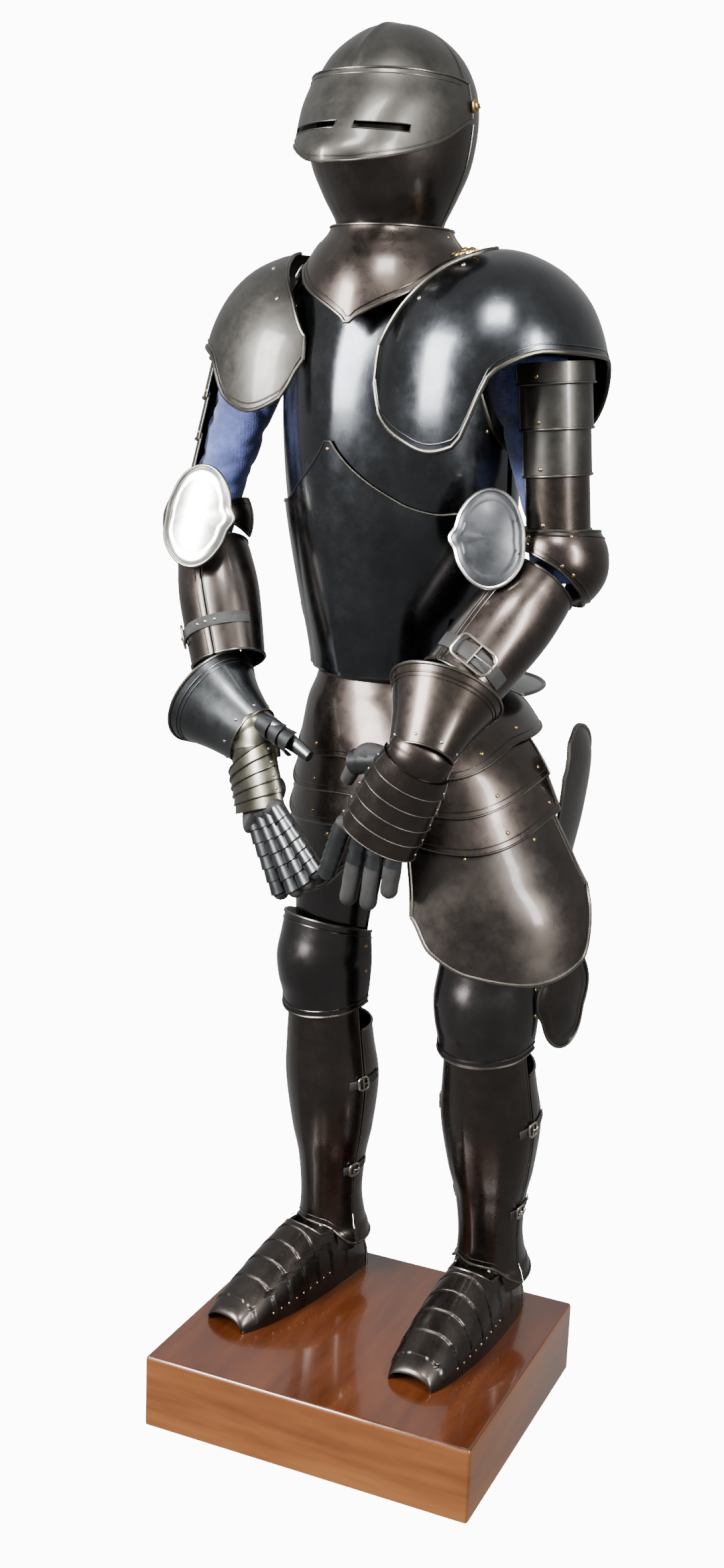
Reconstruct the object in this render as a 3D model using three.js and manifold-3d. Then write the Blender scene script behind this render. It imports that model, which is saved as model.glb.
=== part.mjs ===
// A full suit of plate armour for display, standing on a wooden plinth.
// Millimetres, +Z up. The origin is at the middle of the plinth's underside.
// The suit faces -Y, turned a little to its own right, and its left side is +X.
//
// Every plate is a sheet of steel cut from a bent surface. A surface is a short table of
// cross-sections, and the plate is the part of it between two angles and two edges.
import * as THREE from 'three';
import { mergeVertices } from 'three/addons/utils/BufferGeometryUtils.js';
import Module from 'manifold-3d';

const manifold = await Module();
manifold.setup();

// ---- driving dimensions ----
const PLINTH = { width: 500, depth: 440, height: 110 };
const FIGURE = { x: 0, y: 80, turn: -15 };          // where the suit stands, and its turn in degrees
const HEAD_TURN = 9;                                // the helmet looks this much more to its left
const STEEL = 1.5;                                  // wall of a plate
const CLOTH = 2;                                    // wall of the arming sleeves
const LAP = 3;                                      // how far a plate lies outside the one it covers

// ---- materials ----
const metal = (color, roughness) => new THREE.MeshStandardMaterial({ color, roughness, metalness: 0.9 });
const BROWNED = metal(0x57504b, 0.4);
const BLUED = metal(0x3c434b, 0.3);
const BRIGHT = metal(0xa8aaac, 0.3);
const BRASS = metal(0xb08d57, 0.35);
const WOOD = new THREE.MeshStandardMaterial({ color: 0x8a4a2c, roughness: 0.35, metalness: 0 });
const BLUE_CLOTH = new THREE.MeshStandardMaterial({ color: 0x4d5c9e, roughness: 0.9, metalness: 0 });

const suit = new THREE.Group();
const figure = new THREE.Group();
figure.position.set(FIGURE.x, FIGURE.y, PLINTH.height);
figure.rotation.z = THREE.MathUtils.degToRad(FIGURE.turn);
suit.add(figure);

// ---- surfaces from tables of cross-sections ----
const radians = THREE.MathUtils.degToRad;
const COLUMNS = { x: 0, y: 0, z: 0, w: 0, front: 0, back: 0, keel: 0, square: 2 };

// A row of the table at a station between rows, on a smooth curve through all of them.
function sectionAt(rows, station) {
  const i = Math.min(Math.floor(station), rows.length - 2);
  const t = station - i;
  const section = {};
  for (const [name, usual] of Object.entries(COLUMNS)) {
    const [a, b, c, d] = [i - 1, i, i + 1, i + 2].map((k) => {
      const row = rows[Math.max(0, Math.min(rows.length - 1, k))];
      return row[name] ?? usual;
    });
    section[name] = b + 0.5 * t * (c - a + t * (2 * a - 5 * b + 4 * c - d + t * (3 * (b - c) + d - a)));
  }
  return section;
}

// The station where the surface reaches a height. Rows run from the top down.
function stationAt(rows, height) {
  let low = 0;
  let high = rows.length - 1;
  for (let k = 0; k < 30; k += 1) {
    const middle = (low + high) / 2;
    if (sectionAt(rows, middle).z > height) low = middle;
    else high = middle;
  }
  return low;
}

// A point of a section: angle 0 is its front (-Y), +90 is its left (+X).
function pointAt(rows, angle, station) {
  const s = sectionAt(rows, station);
  const turn = radians(angle);
  const [sine, cosine] = [Math.sin(turn), Math.cos(turn)];
  const bend = (value) => Math.sign(value) * Math.abs(value) ** (2 / s.square);
  const wrapped = Math.abs(((angle + 540) % 360) - 180);
  const ridge = s.keel * Math.max(0, 1 - wrapped / 30);
  const depth = cosine > 0 ? s.front : s.back;
  return new THREE.Vector3(s.x + s.w * bend(sine), s.y - depth * bend(cosine) - ridge, s.z);
}

// A value read from a table of angles, eased between its rows.
function across(table, angle, name) {
  let i = 0;
  while (i < table.length - 2 && angle > table[i + 1].angle) i += 1;
  const [a, b] = [table[i], table[i + 1]];
  const t = THREE.MathUtils.clamp((angle - a.angle) / (b.angle - a.angle), 0, 1);
  return a[name] + (b[name] - a[name]) * t * t * (3 - 2 * t);
}

// ---- from a grid of points to a closed sheet ----
function sheet(grid, normals, wall, closed) {
  const columns = grid.length;
  const levels = grid[0].length;
  const positions = [];
  const indices = [];
  const place = (i, j, side) => 2 * ((i % columns) * levels + j) + side;
  grid.forEach((line, i) => line.forEach((p, j) => {
    positions.push(p.x, p.y, p.z);
    positions.push(...p.clone().addScaledVector(normals[i][j], -wall));
  }));
  const quad = (a, b, c, d) => indices.push(a, b, c, a, c, d);
  const spans = closed ? columns : columns - 1;
  for (let i = 0; i < spans; i += 1) {
    for (let j = 0; j < levels - 1; j += 1) {
      quad(place(i, j, 0), place(i, j + 1, 0), place(i + 1, j + 1, 0), place(i + 1, j, 0));
      quad(place(i, j, 1), place(i + 1, j, 1), place(i + 1, j + 1, 1), place(i, j + 1, 1));
    }
    const last = levels - 1;
    quad(place(i, 0, 0), place(i + 1, 0, 0), place(i + 1, 0, 1), place(i, 0, 1));
    quad(place(i, last, 0), place(i, last, 1), place(i + 1, last, 1), place(i + 1, last, 0));
  }
  if (!closed) {
    const end = columns - 1;
    for (let j = 0; j < levels - 1; j += 1) {
      quad(place(0, j, 0), place(0, j, 1), place(0, j + 1, 1), place(0, j + 1, 0));
      quad(place(end, j, 0), place(end, j + 1, 0), place(end, j + 1, 1), place(end, j, 1));
    }
  }
  return tidied(positions, indices);
}

// Joins equal points and drops faces with no area, as at the top of a dome.
function tidied(positions, indices) {
  let geometry = new THREE.BufferGeometry();
  geometry.setAttribute('position', new THREE.Float32BufferAttribute(positions, 3));
  geometry.setIndex(indices);
  geometry = mergeVertices(geometry, 1e-3);
  const kept = [];
  const index = geometry.index.array;
  for (let i = 0; i < index.length; i += 3) {
    const [a, b, c] = index.slice(i, i + 3);
    if (a !== b && b !== c && c !== a) kept.push(a, b, c);
  }
  geometry.setIndex(kept);
  return geometry;
}

// A plate: the part of a surface between the edges that a table gives for each angle.
function plateGeometry({ rows, edges, steps, levels, wall = STEEL, lift = 0 }) {
  const [first, last] = [edges[0].angle, edges[edges.length - 1].angle];
  const closed = last - first === 360;
  const grid = [];
  const normals = [];
  for (let i = 0; i < (closed ? steps : steps + 1); i += 1) {
    const angle = first + ((last - first) * i) / steps;
    const top = stationAt(rows, across(edges, angle, 'top'));
    const bottom = stationAt(rows, across(edges, angle, 'bottom'));
    grid.push([]);
    normals.push([]);
    for (let j = 0; j <= levels; j += 1) {
      const station = top + ((bottom - top) * j) / levels;
      const point = pointAt(rows, angle, station);
      const beside = pointAt(rows, angle + 1, station).sub(pointAt(rows, angle - 1, station));
      const below = pointAt(rows, angle, Math.min(station + 0.02, rows.length - 1))
        .sub(pointAt(rows, angle, Math.max(station - 0.02, 0)));
      const normal = below.cross(beside);
      if (normal.length() < 1e-6) normal.set(0, 0, 1);
      normal.normalize();
      grid[i].push(point.addScaledVector(normal, lift));
      normals[i].push(normal);
    }
  }
  return sheet(grid, normals, wall, closed);
}

// A slightly domed disc in the XZ plane that faces -Y. The outline is a table of radii by angle.
function discGeometry({ outline, dome, steps = 20, rings = 3, wall = STEEL }) {
  const grid = [];
  const normals = [];
  for (let i = 0; i < steps; i += 1) {
    const angle = (360 * i) / steps;
    const reach = across(outline, angle, 'reach');
    grid.push([]);
    normals.push([]);
    for (let j = 0; j <= rings; j += 1) {
      const t = j / rings;
      const [sine, cosine] = [Math.sin(radians(angle)), Math.cos(radians(angle))];
      grid[i].push(new THREE.Vector3(reach * t * sine, -dome * (1 - t * t), reach * t * cosine));
      normals[i].push(new THREE.Vector3(0, -1, 0));
    }
  }
  return sheet(grid.reverse(), normals, wall, true);
}

// ---- building the scene graph ----
// The same shape for the other side of the body.
function mirrored(geometry) {
  const copy = geometry.clone();
  const position = copy.attributes.position;
  for (let i = 0; i < position.count; i += 1) position.setX(i, -position.getX(i));
  const index = Array.from(copy.index.array);
  for (let i = 0; i < index.length; i += 3) [index[i], index[i + 1]] = [index[i + 1], index[i]];
  copy.setIndex(index);
  return copy;
}

function add(parent, name, geometry, material) {
  const mesh = new THREE.Mesh(geometry, material);
  mesh.name = name;
  parent.add(mesh);
  return mesh;
}

// A frame for a limb: its Z runs from the lower joint to the upper one, and its front
// points the way the limb faces, in degrees from the suit's front towards its left.
function limb(lower, upper, facing = 0, parent = figure) {
  const up = new THREE.Vector3(...upper).sub(new THREE.Vector3(...lower)).normalize();
  const front = new THREE.Vector3(Math.sin(radians(facing)), -Math.cos(radians(facing)), 0);
  const left = new THREE.Vector3().crossVectors(front.negate(), up).normalize();
  const back = new THREE.Vector3().crossVectors(up, left);
  const group = new THREE.Group();
  group.quaternion.setFromRotationMatrix(new THREE.Matrix4().makeBasis(left, back, up));
  group.position.set(...lower);
  parent.add(group);
  return group;
}

// Edges that mirror about the front: the table gives the left half only.
const bothSides = (half) => [
  ...half.filter((row) => row.angle > 0).map((row) => ({ ...row, angle: -row.angle })).reverse(),
  ...half,
];
const band = (from, to, top, bottom) => [{ angle: from, top, bottom }, { angle: to, top, bottom }];

// ---- plinth ----
function plinth() {
  const { width, depth, height } = PLINTH;
  const edge = 6;
  const outline = new THREE.Shape([
    new THREE.Vector2(-width / 2 + edge, -depth / 2 + edge),
    new THREE.Vector2(width / 2 - edge, -depth / 2 + edge),
    new THREE.Vector2(width / 2 - edge, depth / 2 - edge),
    new THREE.Vector2(-width / 2 + edge, depth / 2 - edge),
  ]);
  const bevel = { bevelThickness: edge, bevelSize: edge, bevelSegments: 1 };
  const block = new THREE.ExtrudeGeometry(outline, { depth: height - 2 * edge, ...bevel });
  const mesh = add(suit, 'plinth', block, WOOD);
  mesh.position.z = edge;
}
plinth();

// ---- trunk ----
const MIDDLE = -18;                                 // the trunk's middle, across
const TRUNK = [
  { z: 1530, y: -62, w: 118, front: 68, back: 78 },
  { z: 1500, y: -58, w: 148, front: 92, back: 95, keel: 5 },
  { z: 1450, y: -50, w: 166, front: 111, back: 110, keel: 10 },
  { z: 1380, y: -42, w: 172, front: 129, back: 118, keel: 14 },
  { z: 1297, y: -32, w: 172, front: 141, back: 120, keel: 14 },
  { z: 1200, y: -20, w: 166, front: 145, back: 118, keel: 14 },
  { z: 1100, y: -8, w: 148, front: 144, back: 112, keel: 14 },
  { z: 1030, y: 0, w: 131, front: 142, back: 112, keel: 13 },
  { z: 990, y: 4, w: 127, front: 140, back: 118, keel: 10 },
  { z: 974, x: -14, y: 8, w: 144, front: 148, back: 154, keel: 6 },
  { z: 964, x: -8, y: 10, w: 170, front: 158, back: 204, keel: 3 },
].map((row) => ({ x: MIDDLE, square: 2.15, ...row }));

const breast = bothSides([
  { angle: 0, top: 1470, bottom: 986 },
  { angle: 30, top: 1490, bottom: 986 },
  { angle: 48, top: 1502, bottom: 986 },
  { angle: 66, top: 1400, bottom: 986 },
  { angle: 80, top: 1320, bottom: 986 },
  { angle: 91, top: 1296, bottom: 986 },
]);
const plackart = bothSides([
  { angle: 0, top: 1300, bottom: 992 },
  { angle: 22, top: 1240, bottom: 992 },
  { angle: 50, top: 1212, bottom: 992 },
  { angle: 70, top: 1205, bottom: 992 },
  { angle: 78, top: 1190, bottom: 992 },
]);
const back = [
  { angle: 96, top: 1296, bottom: 965 },
  { angle: 112, top: 1350, bottom: 965 },
  { angle: 134, top: 1500, bottom: 965 },
  { angle: 180, top: 1500, bottom: 965 },
  { angle: 226, top: 1500, bottom: 965 },
  { angle: 248, top: 1350, bottom: 965 },
  { angle: 264, top: 1296, bottom: 965 },
];
add(figure, 'breastplate', plateGeometry({ rows: TRUNK, edges: breast, steps: 14, levels: 6 }), BLUED);
const overlay = plateGeometry({ rows: TRUNK, edges: plackart, steps: 12, levels: 4, lift: LAP + 1 });
add(figure, 'plackart', overlay, BLUED);
add(figure, 'backplate', plateGeometry({ rows: TRUNK, edges: back, steps: 12, levels: 6 }), BLUED);

// ---- gorget: a collar that spreads over the shoulders ----
const GORGET = [
  { z: 60, w: 78, front: 84, back: 76 },
  { z: 36, w: 82, front: 88, back: 80 },
  { z: 16, w: 98, front: 100, back: 84, keel: 1 },
  { z: -4, w: 110, front: 112, back: 90, keel: 2 },
  { z: -30, w: 123, front: 122, back: 102, keel: 3 },
  { z: -65, w: 138, front: 131, back: 116, keel: 4 },
  { z: -110, w: 150, front: 142, back: 126, keel: 4 },
];
const gorgetFront = bothSides([
  { angle: 0, top: 40, bottom: -84 },
  { angle: 35, top: 40, bottom: -40 },
  { angle: 65, top: 40, bottom: -8 },
  { angle: 88, top: 40, bottom: 0 },
]);
const gorgetBack = [
  { angle: 92, top: 40, bottom: 0 },
  { angle: 180, top: 40, bottom: -40 },
  { angle: 268, top: 40, bottom: 0 },
];
const neck = new THREE.Group();
neck.position.set(MIDDLE - 2, -70, 1530);
neck.rotation.z = radians(16);
figure.add(neck);
add(neck, 'gorget_front', plateGeometry({ rows: GORGET, edges: gorgetFront, steps: 12, levels: 4 }), BROWNED);
add(neck, 'gorget_back', plateGeometry({ rows: GORGET, edges: gorgetBack, steps: 10, levels: 3 }), BROWNED);

// ---- skirt of lames, tassets and rear plates ----
const SKIRT = [
  { z: 996, x: -18, y: 4, w: 118, front: 132, back: 98 },
  { z: 970, x: -14, y: 4, w: 128, front: 140, back: 116 },
  { z: 938, x: -2, y: 2, w: 154, front: 150, back: 170 },
  { z: 880, x: 20, y: 0, w: 188, front: 162, back: 178 },
  { z: 820, x: 30, y: 0, w: 214, front: 172, back: 178 },
  { z: 760, x: 44, y: 0, w: 240, front: 184, back: 178 },
  { z: 700, x: 66, y: 0, w: 264, front: 196, back: 182 },
  { z: 560, x: 88, y: 0, w: 290, front: 214, back: 190 },
];
// The waist lame reaches round to the back. The others end at the side, each under the one above.
const SKIRT_LAP = LAP + 1;
const FAULD = [
  { name: 'fauld_1', reach: 140, top: 980, sideTop: 980, bottom: 868, lift: 0, steps: 20 },
  { name: 'fauld_2', reach: 100, top: 890, sideTop: 920, bottom: 820, lift: -SKIRT_LAP, steps: 16 },
  { name: 'fauld_3', reach: 100, top: 840, sideTop: 868, bottom: 776, lift: -2 * SKIRT_LAP, steps: 16 },
];
for (const { name, reach, top, sideTop, bottom, lift, steps } of FAULD) {
  const edges = bothSides([
    { angle: 0, top, bottom: bottom + 12 },
    { angle: 40, top, bottom },
    { angle: 88, top: sideTop, bottom: bottom + 40 },
    { angle: reach, top: sideTop, bottom: bottom + 46 },
  ]);
  add(figure, name, plateGeometry({ rows: SKIRT, edges, steps, levels: 3, lift }), BROWNED);
}
const TASSET = [
  ...SKIRT.filter((row) => row.z > 750),
  { z: 700, x: 50, w: 272, front: 198, back: 180 },
  { z: 590, x: 50, w: 300, front: 214, back: 186 },
];
const leftTasset = [
  { angle: 20, top: 786, bottom: 690 },
  { angle: 26, top: 786, bottom: 648 },
  { angle: 38, top: 790, bottom: 622 },
  { angle: 56, top: 796, bottom: 614 },
  { angle: 80, top: 820, bottom: 642 },
  { angle: 96, top: 832, bottom: 735 },
];
const rightTasset = [
  { angle: -62, top: 800, bottom: 740 },
  { angle: -50, top: 796, bottom: 700 },
  { angle: -32, top: 790, bottom: 676 },
  { angle: -14, top: 788, bottom: 700 },
  { angle: -4, top: 786, bottom: 740 },
];
// The tassets hang well inside the last lame, so that they have room to swing.
const tasset = { rows: TASSET, steps: 9, levels: 4, lift: -14 };
add(figure, 'tasset_left', plateGeometry({ ...tasset, edges: leftTasset }), BROWNED);
add(figure, 'tasset_right', plateGeometry({ ...tasset, edges: rightTasset }), BROWNED);

// The rear plates hang behind the hips: boxier, and rounded at the top.
const REAR = [
  { z: 932, x: 0, w: 200, front: 100, back: 180 },
  { z: 880, x: 2, w: 212, front: 104, back: 192 },
  { z: 800, x: 2, w: 208, front: 104, back: 184 },
  { z: 700, x: 0, w: 196, front: 104, back: 166 },
  { z: 620, x: 0, w: 190, front: 104, back: 158 },
].map((row) => ({ square: 3.5, ...row }));
const rearPlate = [
  { angle: 93, top: 860, bottom: 730 },
  { angle: 96, top: 905, bottom: 680 },
  { angle: 106, top: 925, bottom: 645 },
  { angle: 124, top: 910, bottom: 655 },
  { angle: 145, top: 850, bottom: 720 },
];
const rear = plateGeometry({ rows: REAR, edges: rearPlate, steps: 8, levels: 4 });
add(figure, 'rear_plate_left', rear, BROWNED).position.x = 18;
add(figure, 'rear_plate_right', mirrored(rear), BROWNED).position.x = 6;

// ---- legs ----
const SHANK = [
  { z: 392, w: 62, front: 60, back: 56 },
  { z: 315, w: 70, front: 63, back: 66, keel: 3 },
  { z: 250, w: 75, front: 62, back: 76, keel: 5 },
  { z: 172, w: 65, front: 55, back: 68, keel: 5 },
  { z: 120, w: 54, front: 47, back: 58, keel: 5 },
  { z: 60, w: 49, front: 45, back: 50, keel: 4 },
  { z: 15, w: 51, front: 50, back: 56, keel: 3 },
  { z: 0, w: 56, front: 57, back: 60, keel: 2 },
  { z: -24, w: 61, front: 66, back: 64 },
];
const KNEE = [
  { z: 84, w: 70, front: 68, back: 66 },
  { z: 50, w: 73, front: 75, back: 68 },
  { z: 14, w: 76, front: 84, back: 68 },
  { z: -20, w: 74, front: 80, back: 68 },
  { z: -46, w: 71, front: 71, back: 67 },
  { z: -64, w: 70, front: 67, back: 66 },
  { z: -84, w: 73, front: 68, back: 68 },
];
const THIGH = [
  { z: 330, w: 78, front: 78, back: 78 },
  { z: 200, w: 72, front: 72, back: 74 },
  { z: 100, w: 62, front: 60, back: 60 },
  { z: 30, w: 58, front: 54, back: 56 },
];
const greaveFront = bothSides([
  { angle: 0, top: 385, bottom: 22 },
  { angle: 35, top: 385, bottom: 18 },
  { angle: 88, top: 385, bottom: -16 },
]);
const greaveBack = band(92, 268, 345, -16);
const poleyn = bothSides([
  { angle: 0, top: 82, bottom: -72 },
  { angle: 60, top: 74, bottom: -64 },
  { angle: 104, top: 60, bottom: -50 },
]);
const cuisse = bothSides([
  { angle: 0, top: 270, bottom: 48 },
  { angle: 100, top: 230, bottom: 48 },
]);
const kneeWing = [
  { angle: 0, reach: 76 },
  { angle: 60, reach: 62 },
  { angle: 110, reach: 54 },
  { angle: 165, reach: 78 },
  { angle: 230, reach: 44 },
  { angle: 300, reach: 44 },
  { angle: 360, reach: 76 },
];
const FOOT = [
  { z: 302, w: 37, front: 62 },
  { z: 272, w: 45, front: 90 },
  { z: 228, w: 50, front: 116 },
  { z: 176, w: 53, front: 108 },
  { z: 128, w: 54, front: 88 },
  { z: 82, w: 51, front: 66 },
  { z: 36, w: 45, front: 42 },
  { z: 6, w: 36, front: 25 },
  { z: 0, w: 31, front: 13 },
].map((row) => ({ back: 1, square: 2.3, ...row }));
const sabaton = [
  { angle: -90, top: 300, bottom: 1 },
  { angle: -52, top: 292, bottom: 1 },
  { angle: -38, top: 182, bottom: 1 },
  { angle: 0, top: 166, bottom: 1 },
  { angle: 38, top: 182, bottom: 1 },
  { angle: 52, top: 292, bottom: 1 },
  { angle: 90, top: 300, bottom: 1 },
];
const LEGS = {
  left: {
    side: 1, heel: [114, 144, 1], toe: [164, -160, 1],
    ankle: [126, 84, 92], knee: [154, 0, 524], hip: [122, -4, 860], facing: 2,
  },
  right: {
    side: -1, heel: [-146, 86, 1], toe: [-137, -220, 1],
    ankle: [-142, 28, 80], knee: [-141, 0, 520], hip: [-108, -4, 860], facing: -6,
  },
};
const legShapes = {
  sabaton: plateGeometry({ rows: FOOT, edges: sabaton, steps: 12, levels: 6 }),
  greave_front: plateGeometry({ rows: SHANK, edges: greaveFront, steps: 8, levels: 6 }),
  greave_back: plateGeometry({ rows: SHANK, edges: greaveBack, steps: 8, levels: 5 }),
  poleyn: plateGeometry({ rows: KNEE, edges: poleyn, steps: 10, levels: 4 }),
  cuisse: plateGeometry({ rows: THIGH, edges: cuisse, steps: 10, levels: 3 }),
  poleyn_wing: discGeometry({ outline: kneeWing, dome: 8, steps: 14, rings: 2 }),
};

function leg(name, { side, heel, toe, ankle, knee, hip, facing }) {
  const shape = (part) => (side > 0 ? legShapes[part] : mirrored(legShapes[part]));
  const foot = limb(toe, heel);
  foot.quaternion.setFromRotationMatrix(footBasis(toe, heel));
  add(foot, `sabaton_${name}`, shape('sabaton'), BROWNED);
  const shank = limb(ankle, knee, facing);
  add(shank, `greave_front_${name}`, shape('greave_front'), BROWNED);
  add(shank, `greave_back_${name}`, shape('greave_back'), BROWNED);
  const joint = limb(knee, [knee[0], knee[1], knee[2] + 1], facing);
  add(joint, `poleyn_${name}`, shape('poleyn'), BROWNED);
  const wing = add(joint, `poleyn_wing_${name}`, shape('poleyn_wing'), BROWNED);
  wing.position.set(side * 88, 44, 22);
  wing.rotation.z = radians(side * 78);
  const thigh = limb(knee, hip, facing);
  add(thigh, `cuisse_${name}`, shape('cuisse'), BROWNED);
}

// The foot lies along its axis: its Z runs from the toe to the heel and its front is up.
function footBasis(toe, heel) {
  const backward = new THREE.Vector3(...heel).sub(new THREE.Vector3(...toe)).normalize();
  const down = new THREE.Vector3(0, 0, -1);
  return new THREE.Matrix4().makeBasis(new THREE.Vector3().crossVectors(down, backward), down, backward);
}
for (const [name, pose] of Object.entries(LEGS)) leg(name, pose);

// ---- arms ----
const UPPER_ARM = [
  { z: 300, w: 52, front: 52, back: 52 },
  { z: 180, w: 52, front: 52, back: 52 },
  { z: 40, w: 52, front: 52, back: 52 },
];
// The elbow cop is part of a globe, cut square to the upper arm above and to the forearm below.
const ELBOW = [
  { z: 60, w: 28, front: 28, back: 28 },
  { z: 50, w: 43, front: 43, back: 43 },
  { z: 35, w: 56, front: 56, back: 56 },
  { z: 16, w: 64, front: 64, back: 64 },
  { z: 0, w: 66, front: 66, back: 67 },
  { z: -16, w: 64, front: 64, back: 65 },
  { z: -35, w: 56, front: 56, back: 57 },
  { z: -50, w: 43, front: 43, back: 44 },
];
const couter = [
  { angle: -60, top: 33, bottom: -21 },
  { angle: 0, top: 19, bottom: -6 },
  { angle: 45, top: 28, bottom: -15 },
  { angle: 90, top: 44, bottom: -33 },
  { angle: 135, top: 52, bottom: -44 },
  { angle: 215, top: 52, bottom: -44 },
];
const FOREARM = [
  { z: 196, w: 48, front: 47, back: 48 },
  { z: 165, w: 54, front: 51, back: 53 },
  { z: 110, w: 58, front: 55, back: 56 },
  { z: 0, w: 54, front: 47, back: 47 },
];
const CUFF = [
  { z: 97, w: 76, front: 72, back: 72 },
  { z: 50, w: 58, front: 52, back: 50 },
  { z: 0, w: 45, front: 36, back: 34 },
];
const HAND = [
  { z: 150, w: 42, front: 32, back: 26 },
  { z: 90, w: 50, front: 36, back: 28 },
  { z: 0, w: 54, front: 34, back: 24 },
];
const LAMES = [
  { top: 250, bottom: 224, lift: 0 },
  { top: 232, bottom: 168, lift: -LAP },
  { top: 176, bottom: 110, lift: -2 * LAP },
  { top: 118, bottom: 40, lift: -3 * LAP },
];
// The sleeve bulges towards the trunk, where the lames leave the arm open.
const SLEEVE = [
  { z: 262, x: -46, w: 62, front: 41, back: 40 },
  { z: 200, x: -34, w: 54, front: 41, back: 38 },
  { z: 150, x: -22, w: 48, front: 37, back: 34 },
  { z: 110, x: -16, w: 45, front: 34, back: 32 },
  { z: 60, x: -6, w: 40, front: 31, back: 31 },
  { z: 10, x: -2, w: 38, front: 30, back: 31 },
  { z: -30, x: 0, w: 36, front: 34, back: 26 },
];
const elbowWing = [
  { angle: 0, reach: 64 },
  { angle: 60, reach: 45 },
  { angle: 90, reach: 42 },
  { angle: 135, reach: 52 },
  { angle: 180, reach: 62 },
  { angle: 225, reach: 51 },
  { angle: 252, reach: 46 },
  { angle: 270, reach: 51 },
  { angle: 288, reach: 46 },
  { angle: 315, reach: 52 },
  { angle: 360, reach: 64 },
];
const PAULDRON = [
  { z: 1546, x: 10, w: 6, front: 6, back: 6 },
  { z: 1538, x: 8, w: 46, front: 42, back: 44 },
  { z: 1516, x: 4, w: 92, front: 84, back: 90 },
  { z: 1480, x: 2, w: 128, front: 116, back: 126 },
  { z: 1430, w: 152, front: 140, back: 146 },
  { z: 1380, w: 158, front: 148, back: 152 },
  { z: 1320, w: 156, front: 150, back: 152 },
  { z: 1250, w: 152, front: 146, back: 148 },
];
const shoulderBack = [
  { angle: 62, top: 1544, bottom: 1418 },
  { angle: 110, top: 1544, bottom: 1414 },
  { angle: 150, top: 1544, bottom: 1330 },
  { angle: 180, top: 1538, bottom: 1296 },
  { angle: 206, top: 1500, bottom: 1330 },
  { angle: 216, top: 1450, bottom: 1390 },
];
const PAULDRON_EDGES = {
  left: [
    { angle: -33, top: 1420, bottom: 1372 },
    { angle: -26, top: 1472, bottom: 1335 },
    { angle: -8, top: 1530, bottom: 1305 },
    { angle: 8, top: 1542, bottom: 1292 },
    { angle: 20, top: 1544, bottom: 1300 },
    { angle: 36, top: 1544, bottom: 1392 },
    ...shoulderBack,
  ],
  right: [
    { angle: -33, top: 1430, bottom: 1400 },
    { angle: -22, top: 1486, bottom: 1350 },
    { angle: -5, top: 1534, bottom: 1332 },
    { angle: 10, top: 1543, bottom: 1345 },
    { angle: 30, top: 1544, bottom: 1405 },
    ...shoulderBack,
  ],
};
const armShapes = {
  couter: plateGeometry({ rows: ELBOW, edges: couter, steps: 13, levels: 4 }),
  couter_wing: discGeometry({ outline: elbowWing, dome: 8, steps: 16, rings: 2 }),
  vambrace_outer: plateGeometry({ rows: FOREARM, edges: band(-20, 156, 188, 16), steps: 8, levels: 3 }),
  vambrace_inner: plateGeometry({ rows: FOREARM, edges: band(160, 336, 188, 16), steps: 8, levels: 3 }),
  gauntlet_cuff: plateGeometry({ rows: CUFF, edges: band(0, 360, 96, 0), steps: 16, levels: 2 }),
};
// shoulder: where the shoulder cap's middle is, across. lames: the angle where the open lames
// of the upper arm start. sleeve: how much the sleeve bulges. bend: the way the elbow's front
// faces. facing: the way the back of the hand faces. slant: how much shorter its one side is.
const ARMS = {
  left: {
    side: 1, shoulder: 130, lames: -30, sleeve: 1,
    top: [224, -40, 1405], elbow: [241, -28, 1158], wrist: [191, -178, 994], bend: -20,
    wing: { at: [204, -130, 1187], turn: 38, lean: -18, size: 1 },
    rim: [178, -172, 991], cuff: [187, -232, 918], knuckles: [116, -220, 801], facing: 25, slant: 0,
    fingers: [
      { from: [123, -220, 765], to: [132, -215, 738] },
      { from: [106, -228, 780], to: [94, -220, 713] },
      { from: [88, -237, 796], to: [68, -225, 716] },
      { from: [70, -245, 811], to: [38, -230, 748] },
    ],
    thumb: { from: [99, -214, 931], to: [50, -208, 862] },
  },
  right: {
    side: -1, shoulder: -166, lames: 20, sleeve: 0.6,
    top: [-258, -86, 1405], elbow: [-276, -140, 1172], wrist: [-182, -190, 974], bend: 50,
    wing: { at: [-230, -212, 1186], turn: 16, lean: -15, size: 1.12 },
    rim: [-209, -200, 939], cuff: [-122, -205, 894], knuckles: [-92, -210, 798], facing: -20, slant: 50,
    fingers: [
      { from: [-66, -232, 793], to: [0, -228, 716] },
      { from: [-84, -225, 788], to: [-19, -216, 708] },
      { from: [-102, -219, 783], to: [-41, -204, 704] },
      { from: [-120, -212, 779], to: [-58, -194, 708] },
    ],
    thumb: { from: [-68, -230, 921], to: [4, -230, 891] },
  },
};
const FINGER = 10;                                  // radius of a finger

// A rounded rod between two points of the figure.
function rod(from, to, radius) {
  const [start, end] = [new THREE.Vector3(...from), new THREE.Vector3(...to)];
  const shape = new THREE.CapsuleGeometry(radius, start.distanceTo(end), 2, 8);
  shape.rotateX(Math.PI / 2);
  const holder = new THREE.Object3D();
  holder.position.copy(start).add(end).multiplyScalar(0.5);
  holder.up.set(0, 1, 0);
  holder.lookAt(holder.position.clone().add(end).sub(start));
  holder.updateMatrix();
  return shape.applyMatrix4(holder.matrix);
}

function solid(geometry) {
  const bare = geometry.clone();
  bare.deleteAttribute('normal');
  bare.deleteAttribute('uv');
  const merged = mergeVertices(bare, 1e-4);
  return new manifold.Manifold(new manifold.Mesh({
    numProp: 3,
    vertProperties: new Float32Array(merged.attributes.position.array),
    triVerts: new Uint32Array(merged.index.array),
  }));
}

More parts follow.
